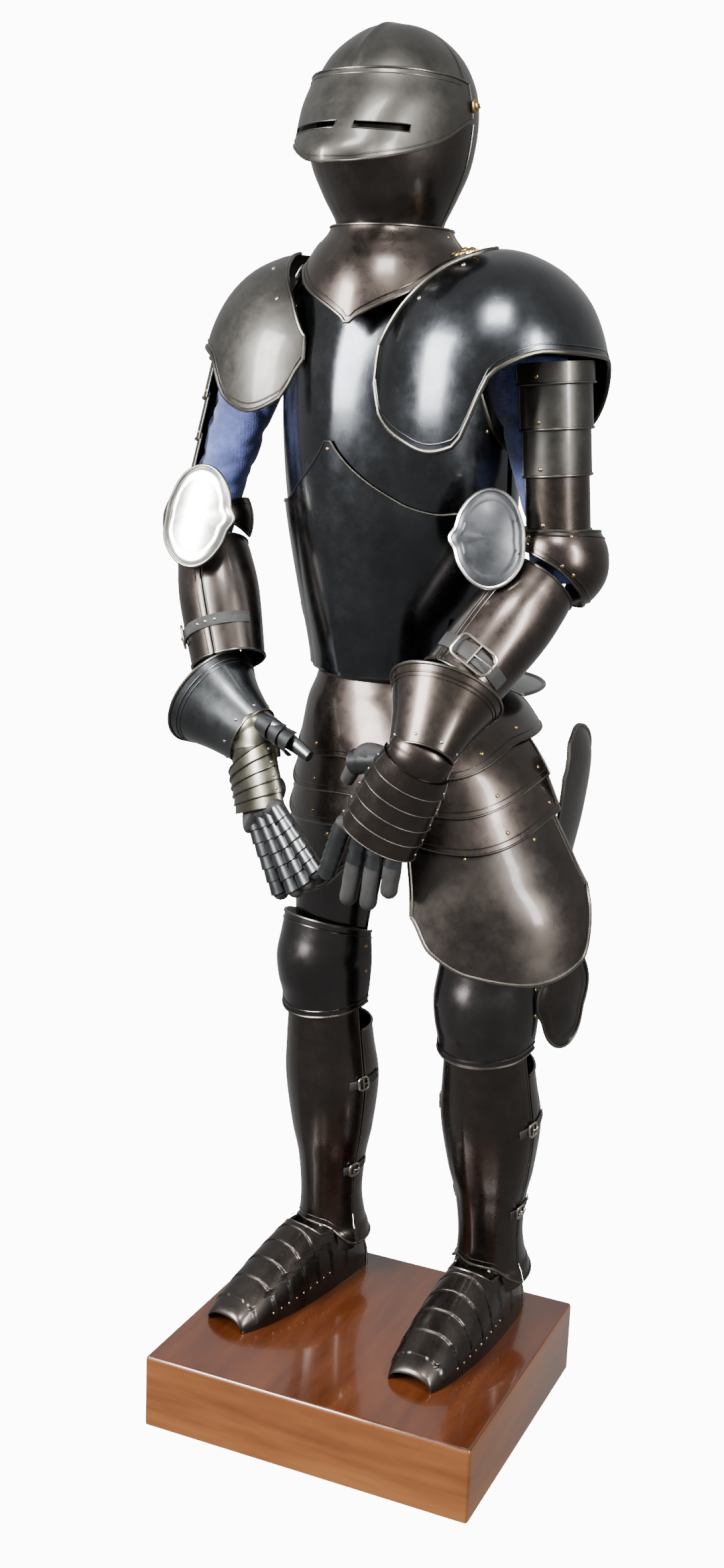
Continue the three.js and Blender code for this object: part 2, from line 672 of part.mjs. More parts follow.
function geometryOf(body) {
  const mesh = body.getMesh();
  const geometry = new THREE.BufferGeometry();
  geometry.setAttribute('position', new THREE.BufferAttribute(new Float32Array(mesh.vertProperties), 3));
  geometry.setIndex(new THREE.BufferAttribute(new Uint32Array(mesh.triVerts), 1));
  return geometry;
}

// Four fingers that hang from a bar across the knuckles, as one body.
function fingersGeometry(fingers) {
  const rods = fingers.map(({ from, to }) => rod(from, to, FINGER));
  rods.push(rod(fingers[0].from, fingers[3].from, FINGER));
  return geometryOf(manifold.Manifold.union(rods.map(solid)));
}

function arm(name, pose) {
  const { side, elbow, top, wrist, wing, rim, cuff, knuckles, thumb, slant } = pose;
  const sided = (geometry) => (side > 0 ? geometry : mirrored(geometry));
  const shape = (part) => sided(armShapes[part]);
  const cap = plateGeometry({ rows: PAULDRON, edges: PAULDRON_EDGES[name], steps: 22, levels: 5 });
  add(figure, `pauldron_${name}`, sided(cap), BLUED).position.set(pose.shoulder, -50, 0);
  const upper = limb(elbow, top);
  LAMES.forEach(({ top: high, bottom: low, lift }, i) => {
    const edges = band(pose.lames, 170, high, low);
    const lame = plateGeometry({ rows: UPPER_ARM, edges, steps: 10, levels: 1, lift });
    add(upper, `rerebrace_${name}_${i + 1}`, sided(lame), BROWNED);
  });
  const slimmer = 16 * (1 - pose.sleeve);
  const rows = SLEEVE.map((row) => ({ ...row, x: row.x * pose.sleeve, w: row.w - (slimmer * row.z) / 262 }));
  const sleeveEdges = band(0, 360, 258, -26);
  const cloth = plateGeometry({ rows, edges: sleeveEdges, steps: 14, levels: 5, wall: CLOTH });
  add(upper, `sleeve_${name}`, sided(cloth), BLUE_CLOTH);
  const middle = new THREE.Vector3(...elbow);
  const [up, down] = [top, wrist].map((end) => new THREE.Vector3(...end).sub(middle).normalize());
  const joint = limb(elbow, up.clone().sub(down).add(middle).toArray(), pose.bend);
  add(joint, `couter_${name}`, shape('couter'), BROWNED);
  const guard = add(figure, `couter_wing_${name}`, shape('couter_wing'), BRIGHT);
  guard.position.set(...wing.at);
  guard.scale.set(wing.size, 1, wing.size);
  guard.rotation.set(radians(wing.lean), 0, radians(wing.turn), 'ZYX');
  const lower = limb(wrist, elbow);
  add(lower, `vambrace_outer_${name}`, shape('vambrace_outer'), BROWNED);
  add(lower, `vambrace_inner_${name}`, shape('vambrace_inner'), BROWNED);
  const glove = limb(cuff, rim);
  add(glove, `gauntlet_cuff_${name}`, shape('gauntlet_cuff'), BROWNED);
  const palm = limb(knuckles, cuff, pose.facing);
  const span = new THREE.Vector3(...cuff).distanceTo(new THREE.Vector3(...knuckles));
  const reach = Math.min(148, span - 8);
  const backEdges = [
    { angle: -95, top: reach - slant, bottom: 0 },
    { angle: 0, top: reach - slant * 0.5, bottom: 0 },
    { angle: 95, top: reach, bottom: 0 },
  ];
  const backOfHand = plateGeometry({ rows: HAND, edges: backEdges, steps: 9, levels: 3 });
  add(palm, `gauntlet_hand_${name}`, backOfHand, BROWNED);
  add(figure, `fingers_${name}`, fingersGeometry(pose.fingers), BROWNED);
  add(figure, `thumb_${name}`, rod(thumb.from, thumb.to, FINGER + 2), BROWNED);
}
for (const [name, pose] of Object.entries(ARMS)) arm(name, pose);

// ---- helmet ----
const head = new THREE.Group();
head.position.set(-20, -78, 1560);
head.rotation.z = radians(HEAD_TURN);
figure.add(head);
const SKULL = [
  { z: 262, y: 8, w: 0.01, front: 0.01, back: 0.01 },
  { z: 256, y: 8, w: 34, front: 40, back: 42 },
  { z: 240, y: 8, w: 62, front: 70, back: 76 },
  { z: 215, y: 6, w: 86, front: 96, back: 102 },
  { z: 180, y: 4, w: 102, front: 113, back: 118 },
  { z: 140, y: 2, w: 106, front: 118, back: 122 },
  { z: 90, y: 2, w: 100, front: 112, back: 110 },
  { z: 50, y: 4, w: 84, front: 96, back: 90 },
  { z: 20, y: 6, w: 70, front: 76, back: 72 },
  { z: 0, y: 6, w: 66, front: 72, back: 66 },
];
const skull = [
  { angle: 0, top: 262, bottom: 190 },
  { angle: 60, top: 262, bottom: 190 },
  { angle: 84, top: 262, bottom: 130 },
  { angle: 90, top: 262, bottom: 10 },
  { angle: 180, top: 262, bottom: 10 },
  { angle: 270, top: 262, bottom: 10 },
  { angle: 276, top: 262, bottom: 130 },
  { angle: 300, top: 262, bottom: 190 },
  { angle: 360, top: 262, bottom: 190 },
];
add(head, 'skull', plateGeometry({ rows: SKULL, edges: skull, steps: 30, levels: 7 }), BROWNED);
const VISOR = [
  { z: 192, y: 2, w: 100, front: 110, back: 110 },
  { z: 178, y: 2, w: 104, front: 116, back: 110 },
  { z: 150, y: 2, w: 110, front: 134, back: 110 },
  { z: 110, y: 2, w: 110, front: 154, back: 110, keel: 4 },
  { z: 85, y: 2, w: 108, front: 164, back: 110, keel: 8 },
  { z: 60, y: 2, w: 106, front: 160, back: 110, keel: 8 },
];
const visor = bothSides([
  { angle: 0, top: 180, bottom: 76 },
  { angle: 30, top: 180, bottom: 70 },
  { angle: 60, top: 180, bottom: 84 },
  { angle: 90, top: 178, bottom: 140 },
]);
add(head, 'visor', plateGeometry({ rows: VISOR, edges: visor, steps: 18, levels: 4, lift: LAP }), BROWNED);
const BEVOR = SKULL.slice(4).map((row) => ({ ...row, keel: 5 }));
const bevor = bothSides([
  { angle: 0, top: 124, bottom: 10 },
  { angle: 60, top: 124, bottom: 10 },
  { angle: 78, top: 134, bottom: 10 },
  { angle: 96, top: 138, bottom: 10 },
]);
add(head, 'bevor', plateGeometry({ rows: BEVOR, edges: bevor, steps: 16, levels: 4, lift: LAP }), BROWNED);

// The brass screws on which the visor and the bevor turn.
const PIVOT = { x: 118, y: 4, z: 158, radius: 9, thickness: 5 };
for (const [name, side] of [['left', 1], ['right', -1]]) {
  const screw = new THREE.CylinderGeometry(PIVOT.radius, PIVOT.radius, PIVOT.thickness, 16);
  screw.rotateZ(Math.PI / 2);
  add(head, `visor_pivot_${name}`, screw, BRASS).position.set(side * PIVOT.x, PIVOT.y, PIVOT.z);
}

export default suit;
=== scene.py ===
"""A full suit of plate armour on a wooden plinth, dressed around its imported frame.

Lengths of the armour are in millimetres inside this script, and every mesh is written in metres.
Each plate is a fine sheet cut from a surface that a short table of cross-sections gives, with
rolled edges, raised lines, rivets and screws on it.
"""
import math

import bpy
import numpy as np
from mathutils import Matrix


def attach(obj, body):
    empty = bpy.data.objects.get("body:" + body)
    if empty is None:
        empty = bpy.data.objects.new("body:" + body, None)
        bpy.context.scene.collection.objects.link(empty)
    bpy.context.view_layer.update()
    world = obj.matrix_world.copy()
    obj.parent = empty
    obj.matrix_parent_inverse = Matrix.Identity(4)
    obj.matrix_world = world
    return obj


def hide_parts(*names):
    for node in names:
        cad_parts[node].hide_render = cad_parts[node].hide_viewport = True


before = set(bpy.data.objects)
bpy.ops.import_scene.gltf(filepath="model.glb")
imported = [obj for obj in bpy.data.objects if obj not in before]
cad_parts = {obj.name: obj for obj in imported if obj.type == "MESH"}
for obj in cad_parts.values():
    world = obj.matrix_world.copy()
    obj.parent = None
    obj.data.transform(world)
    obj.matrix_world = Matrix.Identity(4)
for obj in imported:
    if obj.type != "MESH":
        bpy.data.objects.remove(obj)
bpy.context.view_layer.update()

# ---- driving sizes, in millimetres and degrees ----
PLINTH = (500, 440, 110)
FIGURE = (0, 80, -15)        # where the suit stands on the plinth, and its turn
HEAD_TURN = 9
STEEL = 1.5
CLOTH = 2
LAP = 3
ROUNDING = 5.0               # of the plinth's edges
STRAP_WALL = 1.8
WIRE = 2.0                   # radius of a buckle's wire
FINGER = 12                  # half the width of a gauntlet's finger
ASKEW = (0.31, 0.52, 0.8)    # off every axis, to find a side for the first ring of a rod
NEARLY_UP = (0.13, 0.29, 0.95)    # the same for the heads of rivets and screws


# ---- surfaces from tables of cross-sections ----
COLUMNS = ("x", "y", "z", "w", "front", "back", "keel", "square")


def table(columns, *lines, **common):
    """Rows of a surface, from the top down. Columns that aren't named have their usual value."""
    usual = dict.fromkeys(COLUMNS, 0.0)
    usual["square"] = 2.0
    usual.update(common)
    rows = []
    for line in lines:
        row = dict(usual)
        row.update(zip(columns.split(), line))
        rows.append([row[name] for name in COLUMNS])
    return np.array(rows, dtype=float)


def section_at(rows, station):
    """The rows at stations between them, on a smooth curve through all."""
    start = np.clip(np.floor(station).astype(int), 0, len(rows) - 2)
    t = (station - start)[..., None]
    a, b, c, d = (rows[np.clip(start + k, 0, len(rows) - 1)] for k in (-1, 0, 1, 2))
    return b + 0.5 * t * (c - a + t * (2 * a - 5 * b + 4 * c - d + t * (3 * (b - c) + d - a)))


def station_at(rows, height):
    """The stations where the surface reaches these heights."""
    low = np.zeros_like(height)
    high = np.full_like(height, len(rows) - 1.0)
    for _ in range(30):
        middle = (low + high) / 2
        above = section_at(rows, middle)[..., COLUMNS.index("z")] > height
        low = np.where(above, middle, low)
        high = np.where(above, high, middle)
    return low


def on_section(rows, angle, station):
    """Points of the surface: angle 0 is its front (-Y) and +90 its left (+X)."""
    x, y, z, w, front, back, keel, square = np.moveaxis(section_at(rows, station), -1, 0)
    turn = np.radians(angle)
    sine, cosine = np.sin(turn), np.cos(turn)
    wrapped = np.abs((angle + 540) % 360 - 180)
    ridge = keel * np.maximum(0, 1 - wrapped / 30)
    depth = np.where(cosine > 0, front, back)

    def bend(value):
        return np.sign(value) * np.abs(value) ** (2 / square)

    return np.stack([x + w * bend(sine), y - depth * bend(cosine) - ridge, z], axis=-1)


def unit(vector):
    return vector / np.maximum(np.linalg.norm(vector, axis=-1, keepdims=True), 1e-12)


def turned(degrees, axis="z"):
    """A turn about an axis as a 4 by 4 matrix."""
    c, s = math.cos(math.radians(degrees)), math.sin(math.radians(degrees))
    made = np.eye(4)
    i, j = {"x": (1, 2), "y": (2, 0), "z": (0, 1)}[axis]
    made[i, i], made[j, j], made[i, j], made[j, i] = c, c, -s, s
    return made


def moved(x, y, z):
    made = np.eye(4)
    made[:3, 3] = (x, y, z)
    return made


def applied(matrix, points):
    return points @ matrix[:3, :3].T + matrix[:3, 3]


FIGURE_PLACE = moved(FIGURE[0], FIGURE[1], PLINTH[2]) @ turned(FIGURE[2])


def limb(lower, upper, facing=0.0):
    """A frame whose Z runs from the lower joint to the upper one, with its front facing a way."""
    lower, upper = np.array(lower, float), np.array(upper, float)
    up = unit(upper - lower)
    turn = math.radians(facing)
    back = -np.array([math.sin(turn), -math.cos(turn), 0])
    left = unit(np.cross(back, up))
    made = np.eye(4)
    made[:3, 0], made[:3, 1], made[:3, 2], made[:3, 3] = left, np.cross(up, left), up, lower
    return FIGURE_PLACE @ made


class Surface:
    """A table's surface, placed in the world. side -1 is its mirror image, lift its offset."""

    def __init__(self, rows, place=FIGURE_PLACE, side=1, lift=0.0):
        self.rows, self.place, self.side, self.lift = rows, place, side, lift

    def local(self, angle, station):
        """Points and outward normals before placing."""
        last = len(self.rows) - 1.0
        point = on_section(self.rows, angle, station)
        beside = on_section(self.rows, angle + 1, station) - on_section(self.rows, angle - 1, station)
        below = on_section(self.rows, angle, np.minimum(station + 0.02, last))
        below = below - on_section(self.rows, angle, np.maximum(station - 0.02, 0))
        normal = np.cross(below, beside)
        flat = np.linalg.norm(normal, axis=-1) < 1e-6
        normal[flat] = (0, 0, 1)
        return point, unit(normal)

    def at(self, angle, height, out=0.0):
        """World points and normals at angles and heights, out mm proud of the surface."""
        angle = np.asarray(angle, float)
        height = np.asarray(height, float)
        angle, height = np.broadcast_arrays(angle, height)
        return self.on(angle, station_at(self.rows, height), out)

    def on(self, angle, station, out=0.0):
        point, normal = self.local(angle, station)
        point = point + normal * (self.lift + np.asarray(out, float))[..., None]
        if self.side < 0:
            point, normal = point * (-1, 1, 1), normal * (-1, 1, 1)
        return applied(self.place, point), normal @ self.place[:3, :3].T


def across(edges, angle, column):
    """An edge's height at angles: a smooth curve through its rows that never overshoots."""
    knots = np.array([row[0] for row in edges], float)
    values = np.array([row[column] for row in edges], float)
    slopes = np.diff(values) / np.diff(knots)
    at_knots = np.zeros_like(values)
    same_way = slopes[1:] * slopes[:-1] > 0
    at_knots[1:-1] = np.where(same_way, 2 / (1 / np.where(same_way, slopes[1:], 1)
                                             + 1 / np.where(same_way, slopes[:-1], 1)), 0)
    at_knots[0], at_knots[-1] = slopes[0] * 0.5, slopes[-1] * 0.5
    i = np.clip(np.searchsorted(knots, angle, side="right") - 1, 0, len(knots) - 2)
    span = knots[i + 1] - knots[i]
    t = np.clip((angle - knots[i]) / span, 0, 1)
    return ((2 * t**3 - 3 * t**2 + 1) * values[i] + (t**3 - 2 * t**2 + t) * span * at_knots[i]
            + (3 * t**2 - 2 * t**3) * values[i + 1] + (t**3 - t**2) * span * at_knots[i + 1])


def both_sides(*half):
    """Edges that mirror about the front, from their left half."""
    return [(-row[0], *row[1:]) for row in reversed(half) if row[0] > 0] + list(half)


def band(start, end, top, bottom):
    return [(start, top, bottom), (end, top, bottom)]


# ---- collecting the parts of a piece ----
PLATE, EDGE, RIVET, STRAP, BUCKLE = range(5)     # a piece's materials, in the order of metals()


class Piece:
    """Vertices, faces and material numbers that become one mesh object."""

    def __init__(self):
        self.points, self.faces, self.looks, self.count = [], [], [], 0

    def put(self, points, faces, look=PLATE):
        points = np.asarray(points, float).reshape(-1, 3)
        self.points.append(points)
        self.faces += [tuple(int(v) + self.count for v in face) for face in faces]
        self.looks += [look] * len(faces)
        self.count += len(points)

    def made(self, node, look, slot="browned_steel", body="stand", kind="shell", alone=False):
        """The finished object, riding on its body in place of its node, unless it stands alone."""
        mesh = bpy.data.meshes.new(f"{node}_{kind}")
        mesh.from_pydata((np.concatenate(self.points) / 1000).tolist(), [], self.faces)
        mesh.update()
        for material in look if isinstance(look, list) else metals(look):
            mesh.materials.append(material)
        mesh.polygons.foreach_set("material_index", self.looks)
        mesh.polygons.foreach_set("use_smooth", [True] * len(self.faces))
        mesh.set_sharp_from_angle(angle=math.radians(38))
        piece = bpy.data.objects.new(mesh.name, mesh)
        bpy.context.collection.objects.link(piece)
        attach(piece, body)
        if not alone:
            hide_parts(node)
        return piece


def shell(outer, inner, kept, closed):
    """The faces of a wall between two grids of points, rims and the rims of holes included."""
    columns, levels = outer.shape[:2]
    faces = []
    border = {}
    spans = columns if closed else columns - 1
    offset = columns * levels
    for i in range(spans):
        k = (i + 1) % columns
        for j in range(levels - 1):
            if not kept[i, j]:
                continue
            quad = (i * levels + j, i * levels + j + 1, k * levels + j + 1, k * levels + j)
            faces.append(quad)
            faces.append(tuple(v + offset for v in reversed(quad)))
            for a, b in zip(quad, quad[1:] + quad[:1]):
                if (b, a) in border:
                    del border[(b, a)]
                else:
                    border[(a, b)] = True
    for a, b in border:
        faces.append((b, a, a + offset, b + offset))
    return np.concatenate([outer.reshape(-1, 3), inner.reshape(-1, 3)]), faces


class Plate:
    """The part of a surface between the edges that a table gives for each angle."""

    def __init__(self, surface, edges, wall=STEEL):
        self.surface, self.edges, self.wall = surface, edges, wall
        self.first, self.last = edges[0][0], edges[-1][0]
        self.closed = self.last - self.first == 360

    def heights(self, angle):
        return across(self.edges, angle, 1), across(self.edges, angle, 2)

    def at(self, angle, height, out=0.0):
        return self.surface.at(angle, height, out)

    def sheet(self, piece, steps, levels, marks=(), holes=(), relief=None):
        """The wall itself. marks are heights that the grid follows, and holes are openings
        between two angles and two marks. relief gives mm of rise at angles and heights."""
        count = steps if self.closed else steps + 1
        angle = self.first + (self.last - self.first) * np.arange(count) / steps
        for low, high, _, _ in holes:
            for end in (low, high):
                angle[np.argmin(np.abs(angle - end))] = end
        top, bottom = self.heights(angle)
        stops = [top, *(np.clip(mark, bottom + 1, top - 1) for mark in marks), bottom]
        parts = len(stops) - 1
        share = max(2, levels // parts)
        if parts == 1:
            low, high = (station_at(self.surface.rows, end)[:, None] for end in (top, bottom))
            station = low + (high - low) * np.arange(share + 1) / share
            height = section_at(self.surface.rows, station)[..., COLUMNS.index("z")]
        else:
            height = np.concatenate([
                stops[k][:, None] + (stops[k + 1] - stops[k])[:, None]
                * np.arange(share if k < parts - 1 else share + 1) / share for k in range(parts)], axis=1)
            station = station_at(self.surface.rows, height)
        grid = np.broadcast_to(angle[:, None], station.shape)
        rise = np.zeros_like(station)
        if relief is not None:
            rise = rise + relief(grid, height, top[:, None], bottom[:, None])
        outer, _ = self.surface.on(grid, station, rise)
        inner, _ = self.surface.on(grid, station, rise - self.wall)
        kept = np.ones(station.shape, bool)
        for low, high, first, last in holes:
            inside = (angle >= low - 1e-6) & (angle < high - 1e-6)
            kept[np.ix_(inside, np.arange(first * share, last * share))] = False
        points, faces = shell(outer, inner, kept, self.closed)
        if self.surface.side < 0:
            faces = [face[::-1] for face in faces]
        piece.put(points, faces)

    def along(self, which, inset=0.0, count=72, part=(0.0, 1.0)):
        """Points along an edge, inset mm from it: top, bottom, start or end."""
        share = np.linspace(*part, count)
        if which in ("top", "bottom"):
            angle = self.first + (self.last - self.first) * share
            top, bottom = self.heights(angle)
            height = top - inset if which == "top" else bottom + inset
        else:
            angle = np.full(count, self.first if which == "start" else self.last, float)
            top, bottom = self.heights(angle)
            height = top + (bottom - top) * share
            width = float(np.mean(self.surface.rows[:, COLUMNS.index("w")]))
            angle = angle + math.degrees(inset / max(width, 1)) * (1 if which == "start" else -1)
        return self.at(angle, height)[0]

    def rim(self, count=64):
        """A closed path all round the plate."""
        angle = np.linspace(self.first, self.last, count)
        top, bottom = self.heights(angle)
        share = np.linspace(0, 1, count // 2)[1:-1]
        angles = [angle, np.full_like(share, self.last), angle[::-1], np.full_like(share, self.first)]
        heights = [bottom, bottom[-1] + (top[-1] - bottom[-1]) * share,
                   top[::-1], top[0] + (bottom[0] - top[0]) * share]
        return self.at(np.concatenate(angles), np.concatenate(heights))[0]


def plated(surface, edges, steps, levels, wall=STEEL, **how):
    """A new piece that starts as the wall of a plate, and that plate."""
    piece, plate = Piece(), Plate(surface, edges, wall)
    plate.sheet(piece, steps, levels, **how)
    return piece, plate


def ring_faces(count, sides, closed=False):
    """Faces between rings of points along a path, and over its two ends if it is open."""
    faces = []
    for i in range(count if closed else count - 1):
        k = (i + 1) % count
        for j in range(sides):
            n = (j + 1) % sides
            faces.append((i * sides + j, i * sides + n, k * sides + n, k * sides + j))
    if not closed:
        faces.append(tuple(reversed(range(sides))))
        faces.append(tuple((count - 1) * sides + j for j in range(sides)))
    return faces


def round_turn(sides):
    """The cosines and sines of a ring's points, ready to scale two directions."""
    turn = np.linspace(0, 2 * np.pi, sides, endpoint=False)[:, None]
    return np.cos(turn), np.sin(turn)


def tube(piece, points, radius, closed=False, sides=8, look=EDGE):
    """A rod along a path of points, for rolled edges, raised lines and wire."""
    points = np.asarray(points, float)
    count = len(points)
    if closed:
        ahead = unit(np.roll(points, -1, axis=0) - np.roll(points, 1, axis=0))
    else:
        ahead = unit(np.gradient(points, axis=0))
    normals = np.empty_like(points)
    normal = unit(np.cross(ahead[0], ASKEW))
    for i in range(count):
        normal = unit(normal - ahead[i] * np.dot(normal, ahead[i]))
        normals[i] = normal
    cosine, sine = round_turn(sides)
    ring = cosine * np.cross(ahead, normals)[:, None, :] + sine * normals[:, None, :]
    radius = np.broadcast_to(radius, (count,))[:, None, None]
    piece.put(points[:, None, :] + radius * ring, ring_faces(count, sides, closed), look)


def dome(piece, centre, normal, radius, rise=0.6, look=RIVET, sides=12, rings=4, slotted=False):
    """A rivet's or screw's head that stands on a surface."""
    side = unit(np.cross(normal, NEARLY_UP if abs(normal[2]) < 0.9 else (1, 0, 0)))
    cosine, sine = round_turn(sides)
    around = cosine * side + sine * np.cross(normal, side)
    height = radius * rise
    points = [centre + radius * math.cos(t) * around + normal * height * math.sin(t)
              for t in np.linspace(0, math.pi / 2, rings, endpoint=False)]
    points.append((centre + normal * height)[None])
    tip = rings * sides
    faces = ring_faces(rings, sides)[:-1]
    faces += [(tip - sides + j, tip - sides + (j + 1) % sides, tip) for j in range(sides)]
    piece.put(np.concatenate(points), faces, look)
    if slotted:
        line = np.array([centre - side * radius * 0.8, centre + side * radius * 0.8])
        tube(piece, line + normal * height * 0.86, radius * 0.16, sides=6, look=STRAP)


def ribbon(piece, points, normals, width, thickness):
    """A flat strap along a path, its width across the path and its back on the surface."""
    beside = unit(np.cross(unit(np.gradient(points, axis=0)), normals)) * width
    profile = [(-0.5, 0), (-0.5, 0.75), (-0.43, 1), (0.43, 1), (0.5, 0.75), (0.5, 0)]
    made = np.stack([points + beside * a + normals * b * thickness for a, b in profile], axis=1)
    faces = [face[::-1] for face in ring_faces(len(points), len(profile))]
    piece.put(made, faces, STRAP)


def rounded(width, depth, radius, steps=4):
    """Points round a rectangle with rounded corners."""
    ring = []
    for sx, sy, start in ((1, 1, 0), (-1, 1, 90), (-1, -1, 180), (1, -1, 270)):
        for k in range(steps + 1):
            turn = math.radians(start + 90 * k / steps)
            ring.append((sx * (width / 2 - radius) + radius * math.cos(turn),
                         sy * (depth / 2 - radius) + radius * math.sin(turn)))
    return np.array(ring)


def buckle(piece, centre, normal, along, width, length):
    """A frame of round wire with a bar and a tongue, lying on a strap that runs along."""
    along = unit(along - normal * np.dot(along, normal))
    beside = np.cross(normal, along)
    frame_ring = rounded(length, width, 0.28 * min(width, length))
    path = centre + frame_ring[:, :1] * along + frame_ring[:, 1:] * beside + normal * WIRE * 0.6
    bar = np.array([centre - beside * width / 2, centre + beside * width / 2]) + normal * WIRE * 0.5
    tongue = np.array([centre + along * length * reach + normal * WIRE * lift
                       for reach, lift in ((0, 1), (0.28, 2), (0.55, 1.6))])
    tube(piece, path, WIRE, closed=True, look=BUCKLE)
    tube(piece, bar, WIRE * 0.8, look=BUCKLE)
    tube(piece, tongue, WIRE * 0.7, look=BUCKLE)


# ---- what plates carry ----
def rolled(piece, plate, radius, *edges):
    """A rod along some edges of a plate, in the look of worn edges."""
    for edge in edges:
        tube(piece, plate.along(edge), radius)


def raised(piece, plate, edge, inset, radius, part=(0.0, 1.0)):
    """A low line beside an edge, half sunk in the plate."""
    tube(piece, plate.along(edge, inset, part=part), radius, look=PLATE)


def rivets(piece, where, spots, radius=3.0, look=RIVET, slotted=False, rise=0.55, out=0.0):
    """Heads at angles and heights of a plate or surface."""
    for angle, height in spots:
        dome(piece, *where.at(angle, height, out), radius, rise, look, slotted=slotted)


def studs(piece, where, spots, radius, out):
    """Small pale rivets that stand out mm proud, on a strap or a lame."""
    rivets(piece, where, spots, radius, BUCKLE, rise=0.6, out=out)


def strap(piece, surface, start, end, height, width, slope=0.0):
    """A leather strap round a limb at a height, its end rising by slope."""
    share = np.linspace(0, 1, 28)
    points, normals = surface.at(start + (end - start) * share, height + slope * share, 0.6)
    ribbon(piece, points, normals, width, STRAP_WALL)
    return points, normals


def buckled(piece, points, normals, index, width, length):
    """A buckle on a strap, at one of the strap's points."""
    along = points[index + 1] - points[index - 1]
    buckle(piece, points[index] + normals[index] * STRAP_WALL, normals[index], along, width, length)


# ---- materials ----
def new_material(name, **settings):
    material = bpy.data.materials.new(name)
    material.use_nodes = True
    shader = material.node_tree.nodes["Principled BSDF"]
    set_inputs(shader, settings)
    return material, material.node_tree, shader


def set_inputs(node, settings):
    """Constants on a node's sockets, with _ for each space in a socket's name."""
    for name, value in settings.items():
        node.inputs[name.replace("_", " ")].default_value = value


def new_node(tree, kind, **settings):
    node = tree.nodes.new("ShaderNode" + kind)
    set_inputs(node, settings)
    return node


def link(tree, source, output, target, entry):
    tree.links.new(source.outputs[output], target.inputs[entry])


def noise(tree, scale, detail=4.0, roughness=0.55, stretch=(1, 1, 1)):
    """Object-space noise, stretched along the axes with small numbers."""
    place = new_node(tree, "TexCoord")
    mapping = new_node(tree, "Mapping", Scale=stretch)
    made = new_node(tree, "TexNoise", Scale=scale, Detail=detail, Roughness=roughness)
    link(tree, place, "Object", mapping, "Vector")
    link(tree, mapping, "Vector", made, "Vector")
    return made


def ramp(tree, source, stops, output="Fac"):
    """Colours at places between 0 and 1 of a value."""
    made = new_node(tree, "ValToRGB")
    while len(made.color_ramp.elements) < len(stops):
        made.color_ramp.elements.new(0.5)
    for element, (place, colour) in zip(made.color_ramp.elements, stops):
        element.position = place
        element.color = (*colour, 1)
    link(tree, source, output, made, "Fac")
    return made


def spread(tree, source, low, high, start=0.3, end=0.7, output="Fac"):
    """A value that goes from low to high as its source goes from start to end."""
    made = new_node(tree, "MapRange", From_Min=start, From_Max=end, To_Min=low, To_Max=high)
    link(tree, source, output, made, "Value")
    return made


def bump(tree, shader, *layers):
    """Bump from several heights: (node, output, distance in metres)."""
    last = None
    for source, output, distance in layers:
        made = new_node(tree, "Bump", Distance=distance)
        link(tree, source, output, made, "Height")
        if last is not None:
            link(tree, last, "Normal", made, "Normal")
        last = made
    link(tree, last, "Normal", shader, "Normal")


def steel(name, dark, light, low, high, coat=0.25, dent=0.0012):
    """Old polished steel: a mottled patina, uneven gloss, shallow dents and fine scratches."""
    material, tree, shader = new_material(name, Metallic=1.0, Coat_Weight=coat, Coat_Roughness=0.12)
    between = tuple((a + b) / 2 for a, b in zip(dark, light))
    mottle = ramp(tree, noise(tree, 9, 8, 0.62), [(0.3, dark), (0.55, between), (0.72, light)])
    link(tree, mottle, "Color", shader, "Base Color")
    link(tree, spread(tree, noise(tree, 34, 6, 0.7), low, high), "Result", shader, "Roughness")
    dents = noise(tree, 11, 2, 0.4)
    grain = noise(tree, 420, 3, 0.6, (1, 1, 0.25))
    bump(tree, shader, (dents, "Fac", dent), (grain, "Fac", 0.00004))
    return material


def plain_metal(name, colour, roughness):
    """Metal of fittings, darker and rougher where it is tarnished."""
    material, tree, shader = new_material(name, Metallic=1.0)
    tarnish = noise(tree, 60, 5, 0.6)
    darker = tuple(0.55 * c for c in colour)
    link(tree, ramp(tree, tarnish, [(0.35, darker), (0.65, colour)]), "Color", shader, "Base Color")
    link(tree, spread(tree, tarnish, roughness + 0.12, roughness - 0.04), "Result", shader, "Roughness")
    bump(tree, shader, (noise(tree, 500, 2), "Fac", 0.00005))
    return material


def leather_material(name, colour):
    """Smooth dark leather with a fine grain, paler in patches."""
    material, tree, shader = new_material(name, Roughness=0.48)
    paler = tuple(2.2 * c + 0.01 for c in colour)
    tone = ramp(tree, noise(tree, 40, 5, 0.6), [(0.35, colour), (0.75, paler)])
    link(tree, tone, "Color", shader, "Base Color")
    bump(tree, shader, (new_node(tree, "TexVoronoi", Scale=900), "Distance", 0.0002))
    return material


def cloth_material():
    """Blue wool: a plain weave, a faint nap and a tone that varies at random."""
    material, tree, shader = new_material("blue_wool", Roughness=0.9, Sheen_Weight=0.35, Sheen_Roughness=0.5)
    colours = [(0.3, (0.012, 0.018, 0.075)), (0.52, (0.03, 0.045, 0.16)), (0.75, (0.075, 0.1, 0.27))]
    link(tree, ramp(tree, noise(tree, 26, 7, 0.65), colours), "Color", shader, "Base Color")
    place = new_node(tree, "TexCoord")
    layers = []
    for direction in ("X", "Z"):
        wave = new_node(tree, "TexWave", Scale=190, Distortion=1.2, Detail=1.0)
        wave.bands_direction = direction
        link(tree, place, "Object", wave, "Vector")
        layers.append((wave, "Fac", 0.00025))
    bump(tree, shader, (noise(tree, 60, 5, 0.6), "Fac", 0.0012), *layers)
    return material


